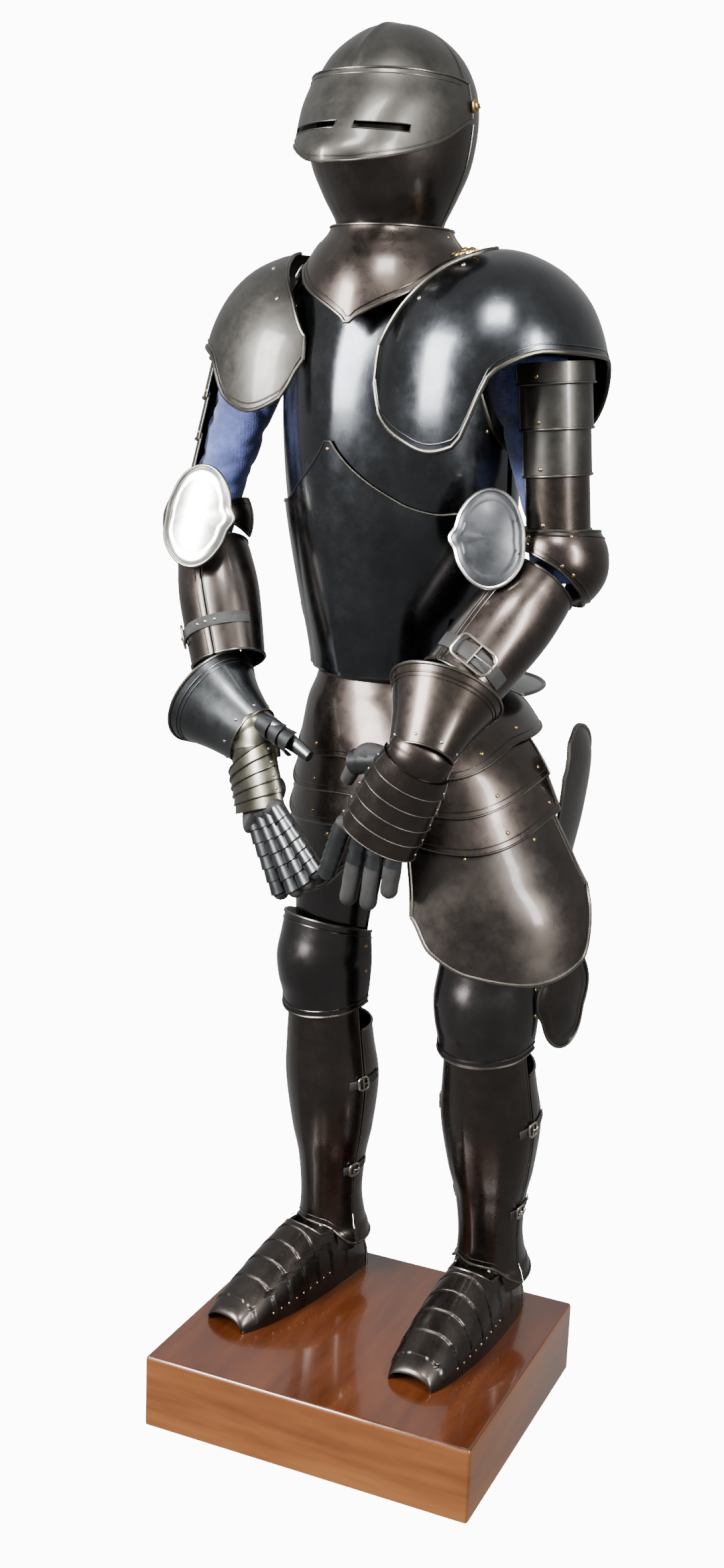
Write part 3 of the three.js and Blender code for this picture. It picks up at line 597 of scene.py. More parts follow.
def wood_material(name, stops, stretch, coat, gloss):
    """Varnished hardwood with long grain, fine pores and darker streaks."""
    material, tree, shader = new_material(name, Coat_Weight=coat, Coat_Roughness=0.07)
    figure = noise(tree, 5.5, 9, 0.62, stretch)
    fibre = noise(tree, 42, 6, 0.7, stretch)
    mixed = new_node(tree, "Math")
    mixed.operation = "MULTIPLY_ADD"
    mixed.inputs[1].default_value = 0.32         # how much of the fibre is added to the figure
    link(tree, fibre, "Fac", mixed, 0)
    link(tree, figure, "Fac", mixed, 2)
    link(tree, ramp(tree, mixed, stops, "Value"), "Color", shader, "Base Color")
    link(tree, spread(tree, fibre, gloss, gloss + 0.14), "Result", shader, "Roughness")
    bump(tree, shader, (fibre, "Fac", 0.00015), (figure, "Fac", 0.0003))
    return material


BROWN = steel("browned_steel", (0.036, 0.029, 0.025), (0.078, 0.062, 0.053), 0.22, 0.38)
DARK_BROWN = steel("dark_browned_steel", (0.030, 0.025, 0.022), (0.062, 0.052, 0.046), 0.26, 0.42)
GREY = steel("grey_steel", (0.042, 0.040, 0.036), (0.088, 0.083, 0.074), 0.32, 0.48)
BLUE = steel("blued_steel", (0.026, 0.028, 0.031), (0.060, 0.064, 0.069), 0.17, 0.30, 0.3)
GLOSS = steel("glossy_steel", (0.034, 0.031, 0.030), (0.070, 0.064, 0.062), 0.17, 0.30, 0.3)
SLATE = steel("slate_steel", (0.048, 0.051, 0.053), (0.100, 0.104, 0.106), 0.24, 0.38)
# The left elbow wing's plate: the bright steel painted dark as painted shade, and rougher.
SHADED_BRIGHT_STEEL = steel("bright_steel_with_painted_shade", (0.030, 0.031, 0.033), (0.075, 0.078, 0.082), 0.32, 0.46, 0.0, 0.0005)
BRIGHT = steel("bright_steel", (0.42, 0.42, 0.40), (0.62, 0.61, 0.58), 0.20, 0.32, 0.0, 0.0005)
WORN = steel("worn_edges", (0.060, 0.055, 0.047), (0.150, 0.138, 0.118), 0.24, 0.40, 0.1, 0.0002)
OLIVE = steel("tinted_steel", (0.065, 0.062, 0.045), (0.15, 0.145, 0.11), 0.26, 0.42)
BRASS = plain_metal("aged_brass", (0.42, 0.29, 0.12), 0.28)
NICKEL = plain_metal("nickel", (0.42, 0.39, 0.33), 0.24)
LEATHER = leather_material("black_leather", (0.006, 0.0055, 0.005))
WOOL = cloth_material()
# The top is painted much darker than the sides. This is mostly painted shade, while its higher gloss and the
# run of its grain are the wood's own.
SHADED_TOP_WOOD = wood_material(
    "mahogany_top_with_painted_shade",
    [(0.42, (0.012, 0.002, 0.001)), (0.6, (0.038, 0.009, 0.002)), (0.85, (0.075, 0.020, 0.005))],
    (1, 0.12, 1), 0.7, 0.16)
SIDE_WOOD = wood_material(
    "mahogany_sides",
    [(0.42, (0.050, 0.013, 0.003)), (0.6, (0.105, 0.033, 0.008)), (0.85, (0.18, 0.066, 0.018))],
    (0.12, 0.12, 1), 0.35, 0.24)


def metals(plate, edge=None):
    """The materials of a plate: itself, its edges, its rivets, its leather and its buckles."""
    return [plate, edge or WORN, BRASS, LEATHER, NICKEL]


# ---- plinth ----
def build_plinth():
    """A block whose upright and upper edges are rounded, with a glossier top whose darker colour is mostly
    painted shade.
    """
    width, depth, height = PLINTH
    ring = rounded(width, depth, ROUNDING)
    corners = np.sign(ring) * (width / 2 - ROUNDING, depth / 2 - ROUNDING)
    bevel = ROUNDING * 1.4       # its height; its lower half has the wood of the sides
    layers = [(0.0, 0.6), (1.5, 1.0), (height - bevel, 1.0)]
    layers += [(height - bevel * (1 - math.sin(t)), math.cos(t) * 0.999)
               for t in np.linspace(0, math.pi / 2, 7)[1:]]
    points = [np.column_stack([corners + (ring - corners) * share, np.full(len(ring), z)])
              for z, share in layers]
    piece = Piece()
    top, sides = 0, 1
    for k in range(len(layers) - 1):
        piece.put(np.concatenate(points[k:k + 2]), ring_faces(2, len(ring))[:-2], sides if k < 5 else top)
    piece.put(points[-1], [tuple(range(len(ring)))], top)
    piece.put(points[0], [tuple(reversed(range(len(ring))))], sides)
    made = piece.made("plinth", [SHADED_TOP_WOOD, SIDE_WOOD], "wood", kind="block")
    made.data.set_sharp_from_angle(angle=math.radians(60))


# ---- trunk ----
TRUNK = table(
    "z y w front back keel x",
    (1530, -62, 118, 68, 78, 0, -18), (1500, -58, 148, 92, 95, 5, -18),
    (1450, -50, 166, 111, 110, 10, -18), (1380, -42, 172, 129, 118, 14, -18),
    (1297, -32, 172, 141, 120, 14, -18), (1200, -20, 166, 145, 118, 14, -18),
    (1100, -8, 148, 144, 112, 14, -18), (1030, 0, 131, 142, 112, 13, -18),
    (990, 4, 127, 140, 118, 10, -18), (974, 8, 144, 148, 154, 6, -14),
    (964, 10, 170, 158, 204, 3, -8), square=2.15)
BREAST = both_sides((0, 1470, 986), (30, 1490, 986), (48, 1502, 986), (66, 1400, 986), (80, 1320, 986),
                    (91, 1296, 986))
PLACKART = both_sides((0, 1303, 992), (2, 1292, 992), (10, 1264, 992), (22, 1238, 992), (36, 1218, 992),
                      (50, 1211, 992), (60, 1213, 992), (66, 1206, 992), (78, 1186, 992))
BACK = [(96, 1296, 965), (112, 1350, 965), (134, 1500, 965), (180, 1500, 965), (226, 1500, 965),
        (248, 1350, 965), (264, 1296, 965)]
WAIST = 1062.0               # height of the side straps


def build_trunk():
    piece, plate = plated(Surface(TRUNK), BREAST, 81, 43)
    rolled(piece, plate, 3.4, "top")
    rivets(piece, plate, [(side * a, z) for side in (1, -1) for a, z in ((44, 1470), (62, 1392), (76, 1318))])
    piece.made("breastplate", BLUE, "blued_steel")

    piece, plate = plated(Surface(TRUNK, lift=LAP + 1), PLACKART, 81, 32)
    rolled(piece, plate, 1.5, "top")
    rivets(piece, plate, [(0, 1288)], 2.6)
    piece.made("plackart", BLUE, "blued_steel")

    piece, plate = plated(Surface(TRUNK), BACK, 69, 43)
    rolled(piece, plate, 3, "top", "bottom")
    rivets(piece, plate, [(a, z) for z in (1300, 1030) for a in (102, 258)])
    flank = Surface(TRUNK, lift=LAP + 3)
    for side in (1, -1):
        points, normals = flank.at(side * np.linspace(62, 112, 22), WAIST, 2.0)
        ribbon(piece, points, normals, 20, 2.2)
        buckle(piece, *flank.at(side * 84.0, WAIST, 4.4), points[12] - points[9], 27, 24)
        rivets(piece, flank, [(side * 105.0, WAIST)], 2.6)
    piece.made("backplate", BLUE, "blued_steel")


NECK = FIGURE_PLACE @ moved(-20, -70, 1530) @ turned(16)
GORGET = table("z w front back keel", (60, 78, 84, 76, 0), (36, 82, 88, 80, 0), (16, 98, 100, 84, 1),
               (-4, 110, 112, 90, 2), (-30, 123, 122, 102, 3), (-65, 138, 131, 116, 4),
               (-110, 150, 142, 126, 4))
GORGET_FRONT = both_sides((0, 40, -86), (3, 40, -78), (35, 40, -40), (65, 40, -8), (88, 40, 0))
GORGET_BACK = [(92, 40, 0), (180, 40, -40), (268, 40, 0)]


def build_gorget():
    for name, edges in (("front", GORGET_FRONT), ("back", GORGET_BACK)):
        piece, plate = plated(Surface(GORGET, NECK), edges, 65, 29)
        rolled(piece, plate, 2.4, "bottom")
        rolled(piece, plate, 1.8, "top")
        rolled(piece, plate, 1.2, "end")
        raised(piece, plate, "bottom", 8, 1.3)
        if name == "front":
            rivets(piece, plate, [(a, z) for a in (80, -80) for z in (12, 30)], 2.6)
        piece.made(f"gorget_{name}", BROWN)


# ---- skirt ----
SKIRT = table(
    "z x y w front back",
    (996, -18, 4, 118, 132, 98), (970, -14, 4, 128, 140, 116), (938, -2, 2, 154, 150, 170),
    (880, 20, 0, 188, 162, 178), (820, 30, 0, 214, 172, 178), (760, 44, 0, 240, 184, 178),
    (700, 66, 0, 264, 196, 182), (560, 88, 0, 290, 214, 190))
TASSET = np.concatenate([SKIRT[SKIRT[:, 2] > 750], table(
    "z x w front back", (700, 50, 272, 198, 180), (590, 50, 300, 214, 186))])
FAULD = [(1, 140, 980, 980, 868, 0), (2, 100, 890, 920, 820, -4), (3, 100, 840, 868, 776, -8)]
TASSET_LIFT = -14
LEFT_TASSET = [(20, 780, 690), (26, 780, 648), (38, 784, 622), (56, 790, 614), (80, 814, 642), (96, 826, 735)]
RIGHT_TASSET = [(-62, 794, 740), (-50, 790, 700), (-32, 784, 676), (-14, 782, 700), (-4, 780, 740)]
REAR = table("z x w front back", (932, 0, 200, 100, 180), (880, 2, 212, 104, 192), (800, 2, 208, 104, 184),
             (700, 0, 196, 104, 166), (620, 0, 190, 104, 158), square=3.5)
REAR_EDGES = [(93, 860, 730), (96, 905, 680), (106, 925, 645), (124, 910, 655), (145, 850, 720)]


def build_skirt():
    for number, reach, top, side_top, bottom, lift in FAULD:
        edges = both_sides((0, top, bottom + 12), (40, top, bottom), (88, side_top, bottom + 40),
                           (reach, side_top, bottom + 46))
        piece, plate = plated(Surface(SKIRT, lift=lift), edges, 86, 19)
        rolled(piece, plate, 1.5, "bottom")
        rolled(piece, plate, 2.2, "start", "end")
        raised(piece, plate, "bottom", 7, 0.9)
        rivets(piece, plate, [(a, plate.heights(a)[1] + 15) for a in (24, -24, 62, -62, 93, -93)])
        piece.made(f"fauld_{number}", BROWN)

    for name, edges in (("left", LEFT_TASSET), ("right", RIGHT_TASSET)):
        piece, plate = plated(Surface(TASSET, lift=TASSET_LIFT), edges, 60, 43)
        rolled(piece, plate, 2.8, "start", "end", "bottom")
        middle = (plate.first + plate.last) / 2
        rivets(piece, plate, [(a, plate.heights(a)[0] - 12) for a in (middle - 17, middle + 17)], 3.2)
        piece.made(f"tasset_{name}", DARK_BROWN, body=f"tasset_{name}")

    for name, side, shift in (("left", 1, 18), ("right", -1, 6)):
        surface = Surface(REAR, FIGURE_PLACE @ moved(shift, 0, 0), side)
        piece, plate = plated(surface, REAR_EDGES, 46, 36)
        tube(piece, plate.rim(), 2.8, closed=True)
        piece.made(f"rear_plate_{name}", DARK_BROWN)


# ---- legs ----
SHANK = table("z w front back keel", (392, 62, 60, 56, 0), (315, 70, 63, 66, 3), (250, 75, 62, 76, 5),
              (172, 65, 55, 68, 5), (120, 54, 47, 58, 5), (60, 49, 45, 50, 4), (15, 51, 50, 56, 3),
              (0, 56, 57, 60, 2), (-24, 61, 66, 64, 0))
GREAVE_FRONT = both_sides((0, 385, 22), (35, 385, 18), (88, 385, -16))
KNEE = table("z w front back", (84, 70, 68, 66), (50, 73, 75, 68), (14, 76, 84, 68), (-20, 74, 80, 68),
             (-46, 71, 71, 67), (-64, 70, 67, 66), (-84, 73, 68, 68))
THIGH = table("z w front back", (330, 78, 78, 78), (200, 72, 72, 74), (100, 62, 60, 60), (30, 58, 54, 56))
FOOT = table("z w front", (302, 37, 62), (272, 45, 90), (228, 50, 116), (176, 53, 108), (128, 54, 88),
             (82, 51, 66), (36, 45, 42), (6, 36, 25), (0, 31, 13), back=1, square=2.3)
POLEYN = both_sides((0, 82, -72), (60, 74, -64), (104, 60, -50))
CUISSE = both_sides((0, 270, 48), (100, 230, 48))
SABATON = both_sides((0, 166, 1), (38, 182, 1), (52, 292, 1), (90, 300, 1))
KNEE_WING = [(0, 76), (60, 62), (110, 54), (165, 78), (230, 44), (300, 44), (360, 76)]
LEGS = {
    "left": (1, (114, 144, 1), (164, -160, 1), (126, 84, 92), (154, 0, 524), (122, -4, 860), 2),
    "right": (-1, (-146, 86, 1), (-137, -220, 1), (-142, 28, 80), (-141, 0, 520), (-108, -4, 860), -6),
}
FOOT_LAMES = np.array([0, 26, 62, 96, 128, 158, 192, 232, 302], float)      # edges, from the toe


def shingles(count, rise):
    """Relief of overlapping lames: each swells towards its lower edge, then drops back."""
    def relief(_angle, height, top, bottom):
        along = (top - height) / np.maximum(top - bottom, 1e-6) * count
        return rise * (along - np.floor(np.minimum(along, count - 1e-6)))
    return relief


def foot_lames(angle, height, _top, _bottom):
    """Relief of a sabaton: each lame but the toe's is proudest at its lower edge."""
    below = np.searchsorted(FOOT_LAMES[1:-1], height)
    low, high = FOOT_LAMES[below], FOOT_LAMES[below + 1]
    return 1.5 * (1 - (height - low) / (high - low)) * (height > FOOT_LAMES[1]) * (np.abs(angle) < 80)


def disc(piece, place, side, outline, rise, grooves, steps=96, rings=22):
    """A domed plate with a rolled edge and grooves that follow it."""
    around = [(a - 360, r) for a, r in outline[:-1]] + outline + [(a + 360, r) for a, r in outline[1:]]
    angle = 360.0 * np.arange(steps) / steps
    reach = across(around, angle, 1)[:, None]
    t = np.linspace(0, 1, rings + 1)[None, :]
    turn = np.radians(angle)[:, None]
    swell = sum(1.1 * np.exp(-(((1 - t) * reach - inset) / 1.6) ** 2) for inset in grooves)

    def surface(sink):
        grid = np.stack([reach * t * np.sin(turn), -rise * (1 - t * t) - swell + sink,
                         reach * t * np.cos(turn)], axis=-1)
        return applied(place, grid * (side, 1, 1))[::-1]

    outer = surface(0)
    points, faces = shell(outer, surface(STEEL), np.ones(outer.shape[:2], bool), True)
    if side < 0:
        faces = [face[::-1] for face in faces]
    piece.put(points, faces)
    tube(piece, outer[:, -1], 2.4, closed=True)


def build_foot(name, side, heel, toe):
    backward = unit(np.array(heel, float) - np.array(toe, float))
    down = np.array((0, 0, -1.0))
    place = np.eye(4)
    place[:3, 0], place[:3, 1], place[:3, 2], place[:3, 3] = np.cross(down, backward), down, backward, toe
    surface = Surface(FOOT, FIGURE_PLACE @ place, side)
    piece, plate = plated(surface, SABATON, 60, 108, relief=foot_lames)
    rolled(piece, plate, 2.2, "top")
    for height in FOOT_LAMES[2:6]:
        tube(piece, surface.at(np.linspace(-74, 74, 40), height, 1.0)[0], 0.5, look=PLATE)
    studs(piece, surface, [(a, z) for a in (-77, 77) for z in np.linspace(58, 186, 9)], 2.1, 0.6)
    studs(piece, surface, [(-28, 190), (28, 190)], 3.0, 1.2)
    piece.made(f"sabaton_{name}", DARK_BROWN)


def build_greaves(name, side, shank):
    surface = Surface(SHANK, shank, side)
    piece, plate = plated(surface, GREAVE_FRONT, 60, 65)
    rolled(piece, plate, 2.4, "top", "bottom")
    rolled(piece, plate, 1.1, "start", "end")
    raised(piece, plate, "bottom", 9, 0.9)
    Plate(Surface(SHANK, shank, side, -3.5), band(-86, 86, 60, -22), 1.0).sheet(piece, 35, 9)
    piece.made(f"greave_front_{name}", BROWN)

    piece, plate = plated(surface, band(92, 268, 345, -16), 60, 58)
    rolled(piece, plate, 2.0, "top", "bottom")
    rolled(piece, plate, 1.1, "start", "end")
    for turn in (1, -1):
        for height in (110, 262):
            buckled(piece, *strap(piece, surface, turn * 66, turn * 120, height, 13, 4), 10, 19, 17)
            studs(piece, surface, [(turn * 116, height + 4)], 2.8, 2.2)
    piece.made(f"greave_back_{name}", BROWN)


def build_leg(name, side, heel, toe, ankle, knee, hip, facing):
    build_foot(name, side, heel, toe)
    build_greaves(name, side, limb(ankle, knee, facing))

    joint = limb(knee, (knee[0], knee[1], knee[2] + 1), facing)
    piece, plate = plated(Surface(KNEE, joint, side), POLEYN, 69, 43)
    rolled(piece, plate, 2.2, "top", "bottom")
    raised(piece, plate, "bottom", 9, 1.4)
    raised(piece, plate, "top", 10, 1.4)
    rivets(piece, plate, [(a, z) for z in (2, 40) for a in (-92, 92)], 2.8)
    piece.made(f"poleyn_{name}", GLOSS)

    piece = Piece()
    disc(piece, joint @ moved(side * 88, 44, 22) @ turned(side * 78), side, KNEE_WING, 8, (9, 13))
    piece.made(f"poleyn_wing_{name}", DARK_BROWN)

    piece, plate = plated(Surface(THIGH, limb(knee, hip, facing), side), CUISSE, 60, 43)
    rolled(piece, plate, 2.2, "top", "bottom", "start", "end")
    raised(piece, plate, "bottom", 12, 1.2)
    piece.made(f"cuisse_{name}", GLOSS)


# ---- arms ----
UPPER_ARM = table("z w front back", (300, 52, 52, 52), (180, 52, 52, 52), (40, 52, 52, 52))
ELBOW = table("z w front back", (60, 28, 28, 28), (50, 43, 43, 43), (35, 56, 56, 56), (16, 64, 64, 64),
              (0, 66, 66, 67), (-16, 64, 64, 65), (-35, 56, 56, 57), (-50, 43, 43, 44))
COUTER = [(-60, 33, -21), (0, 19, -6), (45, 28, -15), (90, 44, -33), (135, 52, -44), (215, 52, -44)]
FOREARM = table("z w front back", (196, 48, 47, 48), (165, 54, 51, 53), (110, 58, 55, 56), (0, 54, 47, 47))
CUFF = table("z w front back", (97, 76, 72, 72), (50, 58, 52, 50), (0, 45, 36, 34))
HAND = table("z w front back", (150, 42, 32, 26), (90, 50, 36, 28), (0, 54, 34, 24))
LAMES = [(250, 224, 0), (232, 168, -LAP), (176, 110, -2 * LAP), (118, 40, -3 * LAP)]
SLEEVE = ((262, -46, 62, 41, 40), (200, -34, 54, 41, 38), (150, -22, 48, 37, 34), (110, -16, 45, 34, 32),
          (60, -6, 40, 31, 31), (10, -2, 38, 30, 31), (-30, 0, 36, 34, 26))
ELBOW_WING = [(0, 64), (60, 45), (90, 42), (135, 52), (180, 62), (225, 51), (252, 46), (270, 51), (288, 46),
              (315, 52), (360, 64)]
PAULDRON = table("z x w front back", (1546, 10, 6, 6, 6), (1538, 8, 46, 42, 44), (1516, 4, 92, 84, 90),
                 (1480, 2, 128, 116, 126), (1430, 0, 152, 140, 146), (1380, 0, 158, 148, 152),
                 (1320, 0, 156, 150, 152), (1250, 0, 152, 146, 148))
SHOULDER_BACK = [(62, 1544, 1418), (110, 1544, 1414), (150, 1544, 1330), (180, 1538, 1296),
                 (206, 1500, 1330), (216, 1450, 1390)]
PAULDRON_EDGES = {
    "left": [(-33, 1420, 1372), (-26, 1472, 1335), (-8, 1530, 1305), (8, 1542, 1292), (20, 1544, 1300),
             (36, 1544, 1392), *SHOULDER_BACK],
    "right": [(-33, 1430, 1400), (-22, 1486, 1350), (-5, 1534, 1332), (10, 1543, 1345), (30, 1544, 1405),
              *SHOULDER_BACK],
}
ARMS = {
    "left": {
        "side": 1, "shoulder": 130, "lames": -30, "sleeve": 1.0,
        "top": (224, -40, 1405), "elbow": (241, -28, 1158), "wrist": (191, -178, 994), "bend": -20,
        "wing": ((204, -130, 1187), 38, -18, 1.0),
        "rim": (178, -172, 991), "cuff": (187, -232, 918), "knuckles": (116, -220, 801),
        "facing": 25, "slant": 0,
        "fingers": [((147, -222, 796), (133, -214, 731)), ((124, -230, 802), (104, -220, 710)),
                    ((101, -238, 806), (75, -226, 712)), ((80, -246, 816), (43, -232, 741))],
        "thumb": [(132, -224, 905, 15, 12), (96, -222, 908, 14, 12), (72, -214, 892, 12, 11),
                  (50, -208, 862, 10, 9)],
    },
    "right": {
        "side": -1, "shoulder": -166, "lames": 20, "sleeve": 0.6,
        "top": (-258, -86, 1405), "elbow": (-276, -140, 1172), "wrist": (-182, -190, 974), "bend": 50,
        "wing": ((-230, -212, 1186), 16, -15, 1.12),
        "rim": (-209, -200, 939), "cuff": (-122, -205, 894), "knuckles": (-92, -210, 798),
        "facing": -20, "slant": 50,
        "fingers": [((-47, -236, 812), (22, -230, 737)), ((-64, -232, 806), (5, -227, 717)),
                    ((-82, -228, 799), (-21, -222, 701)), ((-101, -224, 791), (-53, -216, 690))],
        "thumb": [(-84, -226, 922, 15, 13), (-58, -231, 916, 15, 10), (-24, -231, 902, 11, 8),
                  (4, -230, 889, 8, 7)],
    },
}
HAND_LAMES = 5


def build_shoulder(name, side, shoulder):
    surface = Surface(PAULDRON, FIGURE_PLACE @ moved(shoulder, -50, 0), side)
    piece, plate = plated(surface, PAULDRON_EDGES[name], 108, 58)
    rolled(piece, plate, 3, "bottom", "start", "end")
    tube(piece, plate.along("top", part=(0.0, 0.24)), 3)
    raised(piece, plate, "bottom", 9, 1.2)
    rivets(piece, plate, [(4, 1520), (-14, 1478), (150, 1470), (190, 1430)], 3.4, BUCKLE)
    piece.made(f"pauldron_{name}", GREY if side < 0 else BLUE, "blued_steel")


def creases(angle, height, top, bottom):
    """Soft folds of a sleeve, each with its own place, reach, slant, width and depth."""
    folds = [(20, 232, 70, 0.35, 10, -3.2), (75, 205, 80, -0.3, 9, -3.6), (-30, 190, 60, 0.5, 9, -2.8),
             (40, 165, 75, -0.45, 8, -3.4), (110, 150, 60, 0.3, 8, -2.6), (5, 128, 55, 0.4, 8, -3.0),
             (60, 96, 70, 0.25, 7, -2.8), (-10, 70, 60, -0.35, 7, -2.6), (95, 52, 55, -0.2, 7, -2.4),
             (35, 28, 70, 0.3, 7, -2.8), (30, 215, 50, -0.5, 8, 2.2), (60, 140, 50, 0.45, 8, 2.4),
             (10, 88, 50, -0.3, 7, 2.2), (190, 200, 80, 0.3, 9, -3.0), (230, 140, 70, -0.4, 9, -3.0),
             (200, 80, 80, 0.3, 8, -2.6), (300, 170, 60, 0.4, 9, -2.8), (280, 60, 60, -0.3, 8, -2.4)]
    rise = np.zeros_like(angle + height)
    for middle, level, reach, slant, width, depth in folds:
        away = (angle - middle + 540) % 360 - 180
        across_fold = (height - level - slant * away) / width
        rise = rise + depth * np.exp(-across_fold**2) * np.exp(-(away / reach) ** 4)
    ends = np.minimum(1, np.minimum(top - height, height - bottom) / 14)
    return rise * np.clip(ends, 0, 1)


def build_sleeve(name, side, place, fullness):
    slimmer = 16 * (1 - fullness)
    rows = table("z x w front back", *[
        (z, x * fullness, w - slimmer * z / 262, front, back) for z, x, w, front, back in SLEEVE])
    piece, _plate = plated(Surface(rows, place, side), band(0, 360, 258, -26), 92, 108, CLOTH, relief=creases)
    sleeve = piece.made(f"sleeve_{name}", [WOOL], "blue_cloth", kind="cloth")


def scales(piece, start, end, count, radius, facing):
    """Overlapping small plates along the back of a finger."""
    start, end = np.array(start, float), np.array(end, float)
    step = np.linalg.norm(end - start) / count
    narrow, wide, top = radius * 0.96, radius * 1.2, step * 1.22
    rows = table("z w front back", (step * 1.3, narrow, narrow, narrow), (0, wide, wide, wide))
    edges = [(-95, top, 3), (-60, top, 0.6), (0, top, 0.2), (60, top, 0.6), (95, top, 3)]
    for k in range(count):
        low = start + (end - start) * (k + 1.12) / count
        high = start + (end - start) * max(k - 0.15, -0.1) / count
        Plate(Surface(rows, limb(low, high, facing)), edges, 0.9).sheet(piece, 16, 4)


def finger_rod(piece, start, end):
    """A round leather finger with soft ends."""
    start, end = (applied(FIGURE_PLACE, np.array(p, float)) for p in (start, end))
    ahead = unit(end - start) * FINGER
    caps = [(-1.0, 0.12), (-0.92, 0.42), (-0.7, 0.72), (-0.38, 0.93), (0.0, 1.0)]
    stops = [(start + ahead * t, r) for t, r in caps]
    stops += [(start + (end - start) * t, 1 - 0.05 * math.sin(8 * t)) for t in np.linspace(0.15, 0.85, 6)]
    stops += [(end - ahead * t, r) for t, r in reversed(caps)]
    tube(piece, [s[0] for s in stops], np.array([s[1] for s in stops]) * FINGER, sides=18, look=STRAP)


def loft(piece, sections, across_way, look, sides=40, lames=0):
    """A closed round form through sections (x, y, z, half width, half depth) of the figure."""
    rows = np.array(sections, float)
    stations = np.linspace(0, len(rows) - 1, 12 * len(rows))
    made = section_at(rows, stations)
    centres = applied(FIGURE_PLACE, made[:, :3])
    ahead = unit(np.gradient(centres, axis=0))
    beside = unit(across_way - ahead * (ahead @ across_way)[:, None])
    along = stations / stations[-1]
    size = 1 + 0.04 * (along * lames % 1.0)
    size[[0, -1]] *= 0.8
    cosine, sine = round_turn(sides)
    ring = (centres[:, None, :] + (size * made[:, 3])[:, None, None] * cosine * beside[:, None]
            + (size * made[:, 4])[:, None, None] * sine * np.cross(ahead, beside)[:, None])
    piece.put(ring, ring_faces(len(stations), sides), look)


def build_palm(name, pose, base):
    """The hand plate with its lames, on the wrist and on the leather glove below it."""
    cuff, knuckles, rim = (np.array(pose[key], float) for key in ("cuff", "knuckles", "rim"))
    palm = limb(knuckles, cuff, pose["facing"])
    reach = min(148, np.linalg.norm(cuff - knuckles) - 8)
    edges = [(-95, reach - pose["slant"], 0), (0, reach - pose["slant"] * 0.5, 0), (95, reach, 0)]
    piece, plate = plated(Surface(HAND, palm), edges, 60, 86, relief=shingles(HAND_LAMES, 2.0))
    angles = np.linspace(-94, 94, 50)
    top, bottom = plate.heights(angles)
    for k in range(1, HAND_LAMES + 1):
        tube(piece, plate.at(angles, top + (bottom - top) * k / HAND_LAMES + 0.5, 1.9)[0], 0.9)
        for edge in (-82.0, 82.0):
            high, low = plate.heights(edge)
            studs(piece, plate, [(edge, high + (low - high) * (k - 0.35) / HAND_LAMES)], 2.3, 1.4)

    def between(share):
        return cuff + (knuckles - cuff) * share

    wrist = [(*(cuff + (rim - cuff) * 0.22), 40, 29), (*between(-0.01), 42, 31), (*between(0.14), 43, 32),
             (*between(0.34), 42, 29)]
    glove = [(*between(0.1), 38, 26), (*between(0.4), 40, 24), (*between(0.8), 46, 22), (*base, 44, 14)]
    loft(piece, wrist, palm[:3, 0], PLATE, lames=3)
    loft(piece, glove, palm[:3, 0], STRAP)
    piece.made(f"gauntlet_hand_{name}", OLIVE if pose["side"] < 0 else BROWN)


def build_hand(name, pose):
    """The right hand's fingers and the left's forefinger have scales all along."""
    right = pose["side"] < 0
    roots = [start for start, _end in pose["fingers"]]
    build_palm(name, pose, np.mean(roots, axis=0))

    piece = Piece()
    for index, (start, end) in enumerate(pose["fingers"]):
        finger_rod(piece, start, end)
        if right or index == 3:
            scales(piece, start, end, 6, FINGER, -20 if right else -10)
        else:
            middle = np.array(start, float) + (np.array(end, float) - np.array(start, float)) * 0.4
            scales(piece, start, middle, 2, FINGER, -10)
    finger_rod(piece, roots[0], roots[3])
    piece.made(f"fingers_{name}", SLATE, kind="scales")

    piece = Piece()
    thumb = pose["thumb"]
    loft(piece, thumb, np.array((0, 0, 1.0)), PLATE if right else STRAP, sides=28)
    scales(piece, thumb[0][:3], thumb[2][:3], 3, 15, -15)
    piece.made(f"thumb_{name}", SLATE, kind="scales")


def build_elbow(name, pose, elbow):
    side = pose["side"]
    ends = [unit(np.array(pose[key], float) - elbow) for key in ("top", "wrist")]
    joint = limb(elbow, elbow + ends[0] - ends[1], pose["bend"])
    piece, plate = plated(Surface(ELBOW, joint, side), COUTER, 79, 36)
    rolled(piece, plate, 1.9, "top", "bottom", "start", "end")
    raised(piece, plate, "bottom", 7, 1.3)
    raised(piece, plate, "top", 7, 1.3)
    rivets(piece, plate, [(10, 12), (12, 1), (60, -14), (76, -20), (60, 26)], 2.6, slotted=True)
    piece.made(f"couter_{name}", BROWN)

    at, turn, lean, size = pose["wing"]
    piece = Piece()
    outline = [(angle, reach * size) for angle, reach in ELBOW_WING]
    disc(piece, FIGURE_PLACE @ moved(*at) @ turned(turn) @ turned(lean, "x"), side, outline, 8, (6.5, 10.5))
    # The left wing's plate is painted darker than the right wing as painted shade. Only its edges keep the
    # bright steel.
    piece.made(f"couter_wing_{name}", metals(BRIGHT) if side < 0 else metals(SHADED_BRIGHT_STEEL, BRIGHT), "bright_steel")


def build_forearm(name, side, lower):
    surface = Surface(FOREARM, lower, side)
    for part, start, end, look in (("outer", -20, 156, BROWN), ("inner", 160, 336, DARK_BROWN)):
        piece, plate = plated(surface, band(start, end, 188, 16), 60, 36)
        rolled(piece, plate, 2.0, "top", "bottom")
        rolled(piece, plate, 1.2, "start", "end")
        raised(piece, plate, "start", 7, 0.8)
        if part == "outer" and side > 0:
            buckled(piece, *strap(piece, surface, -40, 78, 46, 20, -8), 14, 32, 58)
        elif part == "outer":
            buckled(piece, *strap(piece, surface, -84, 70, 62, 16), 23, 28, 26)
            studs(piece, surface, [(a, 62) for a in (-4, -18, -32)], 2.8, 2.2)
        piece.made(f"vambrace_{part}_{name}", look)


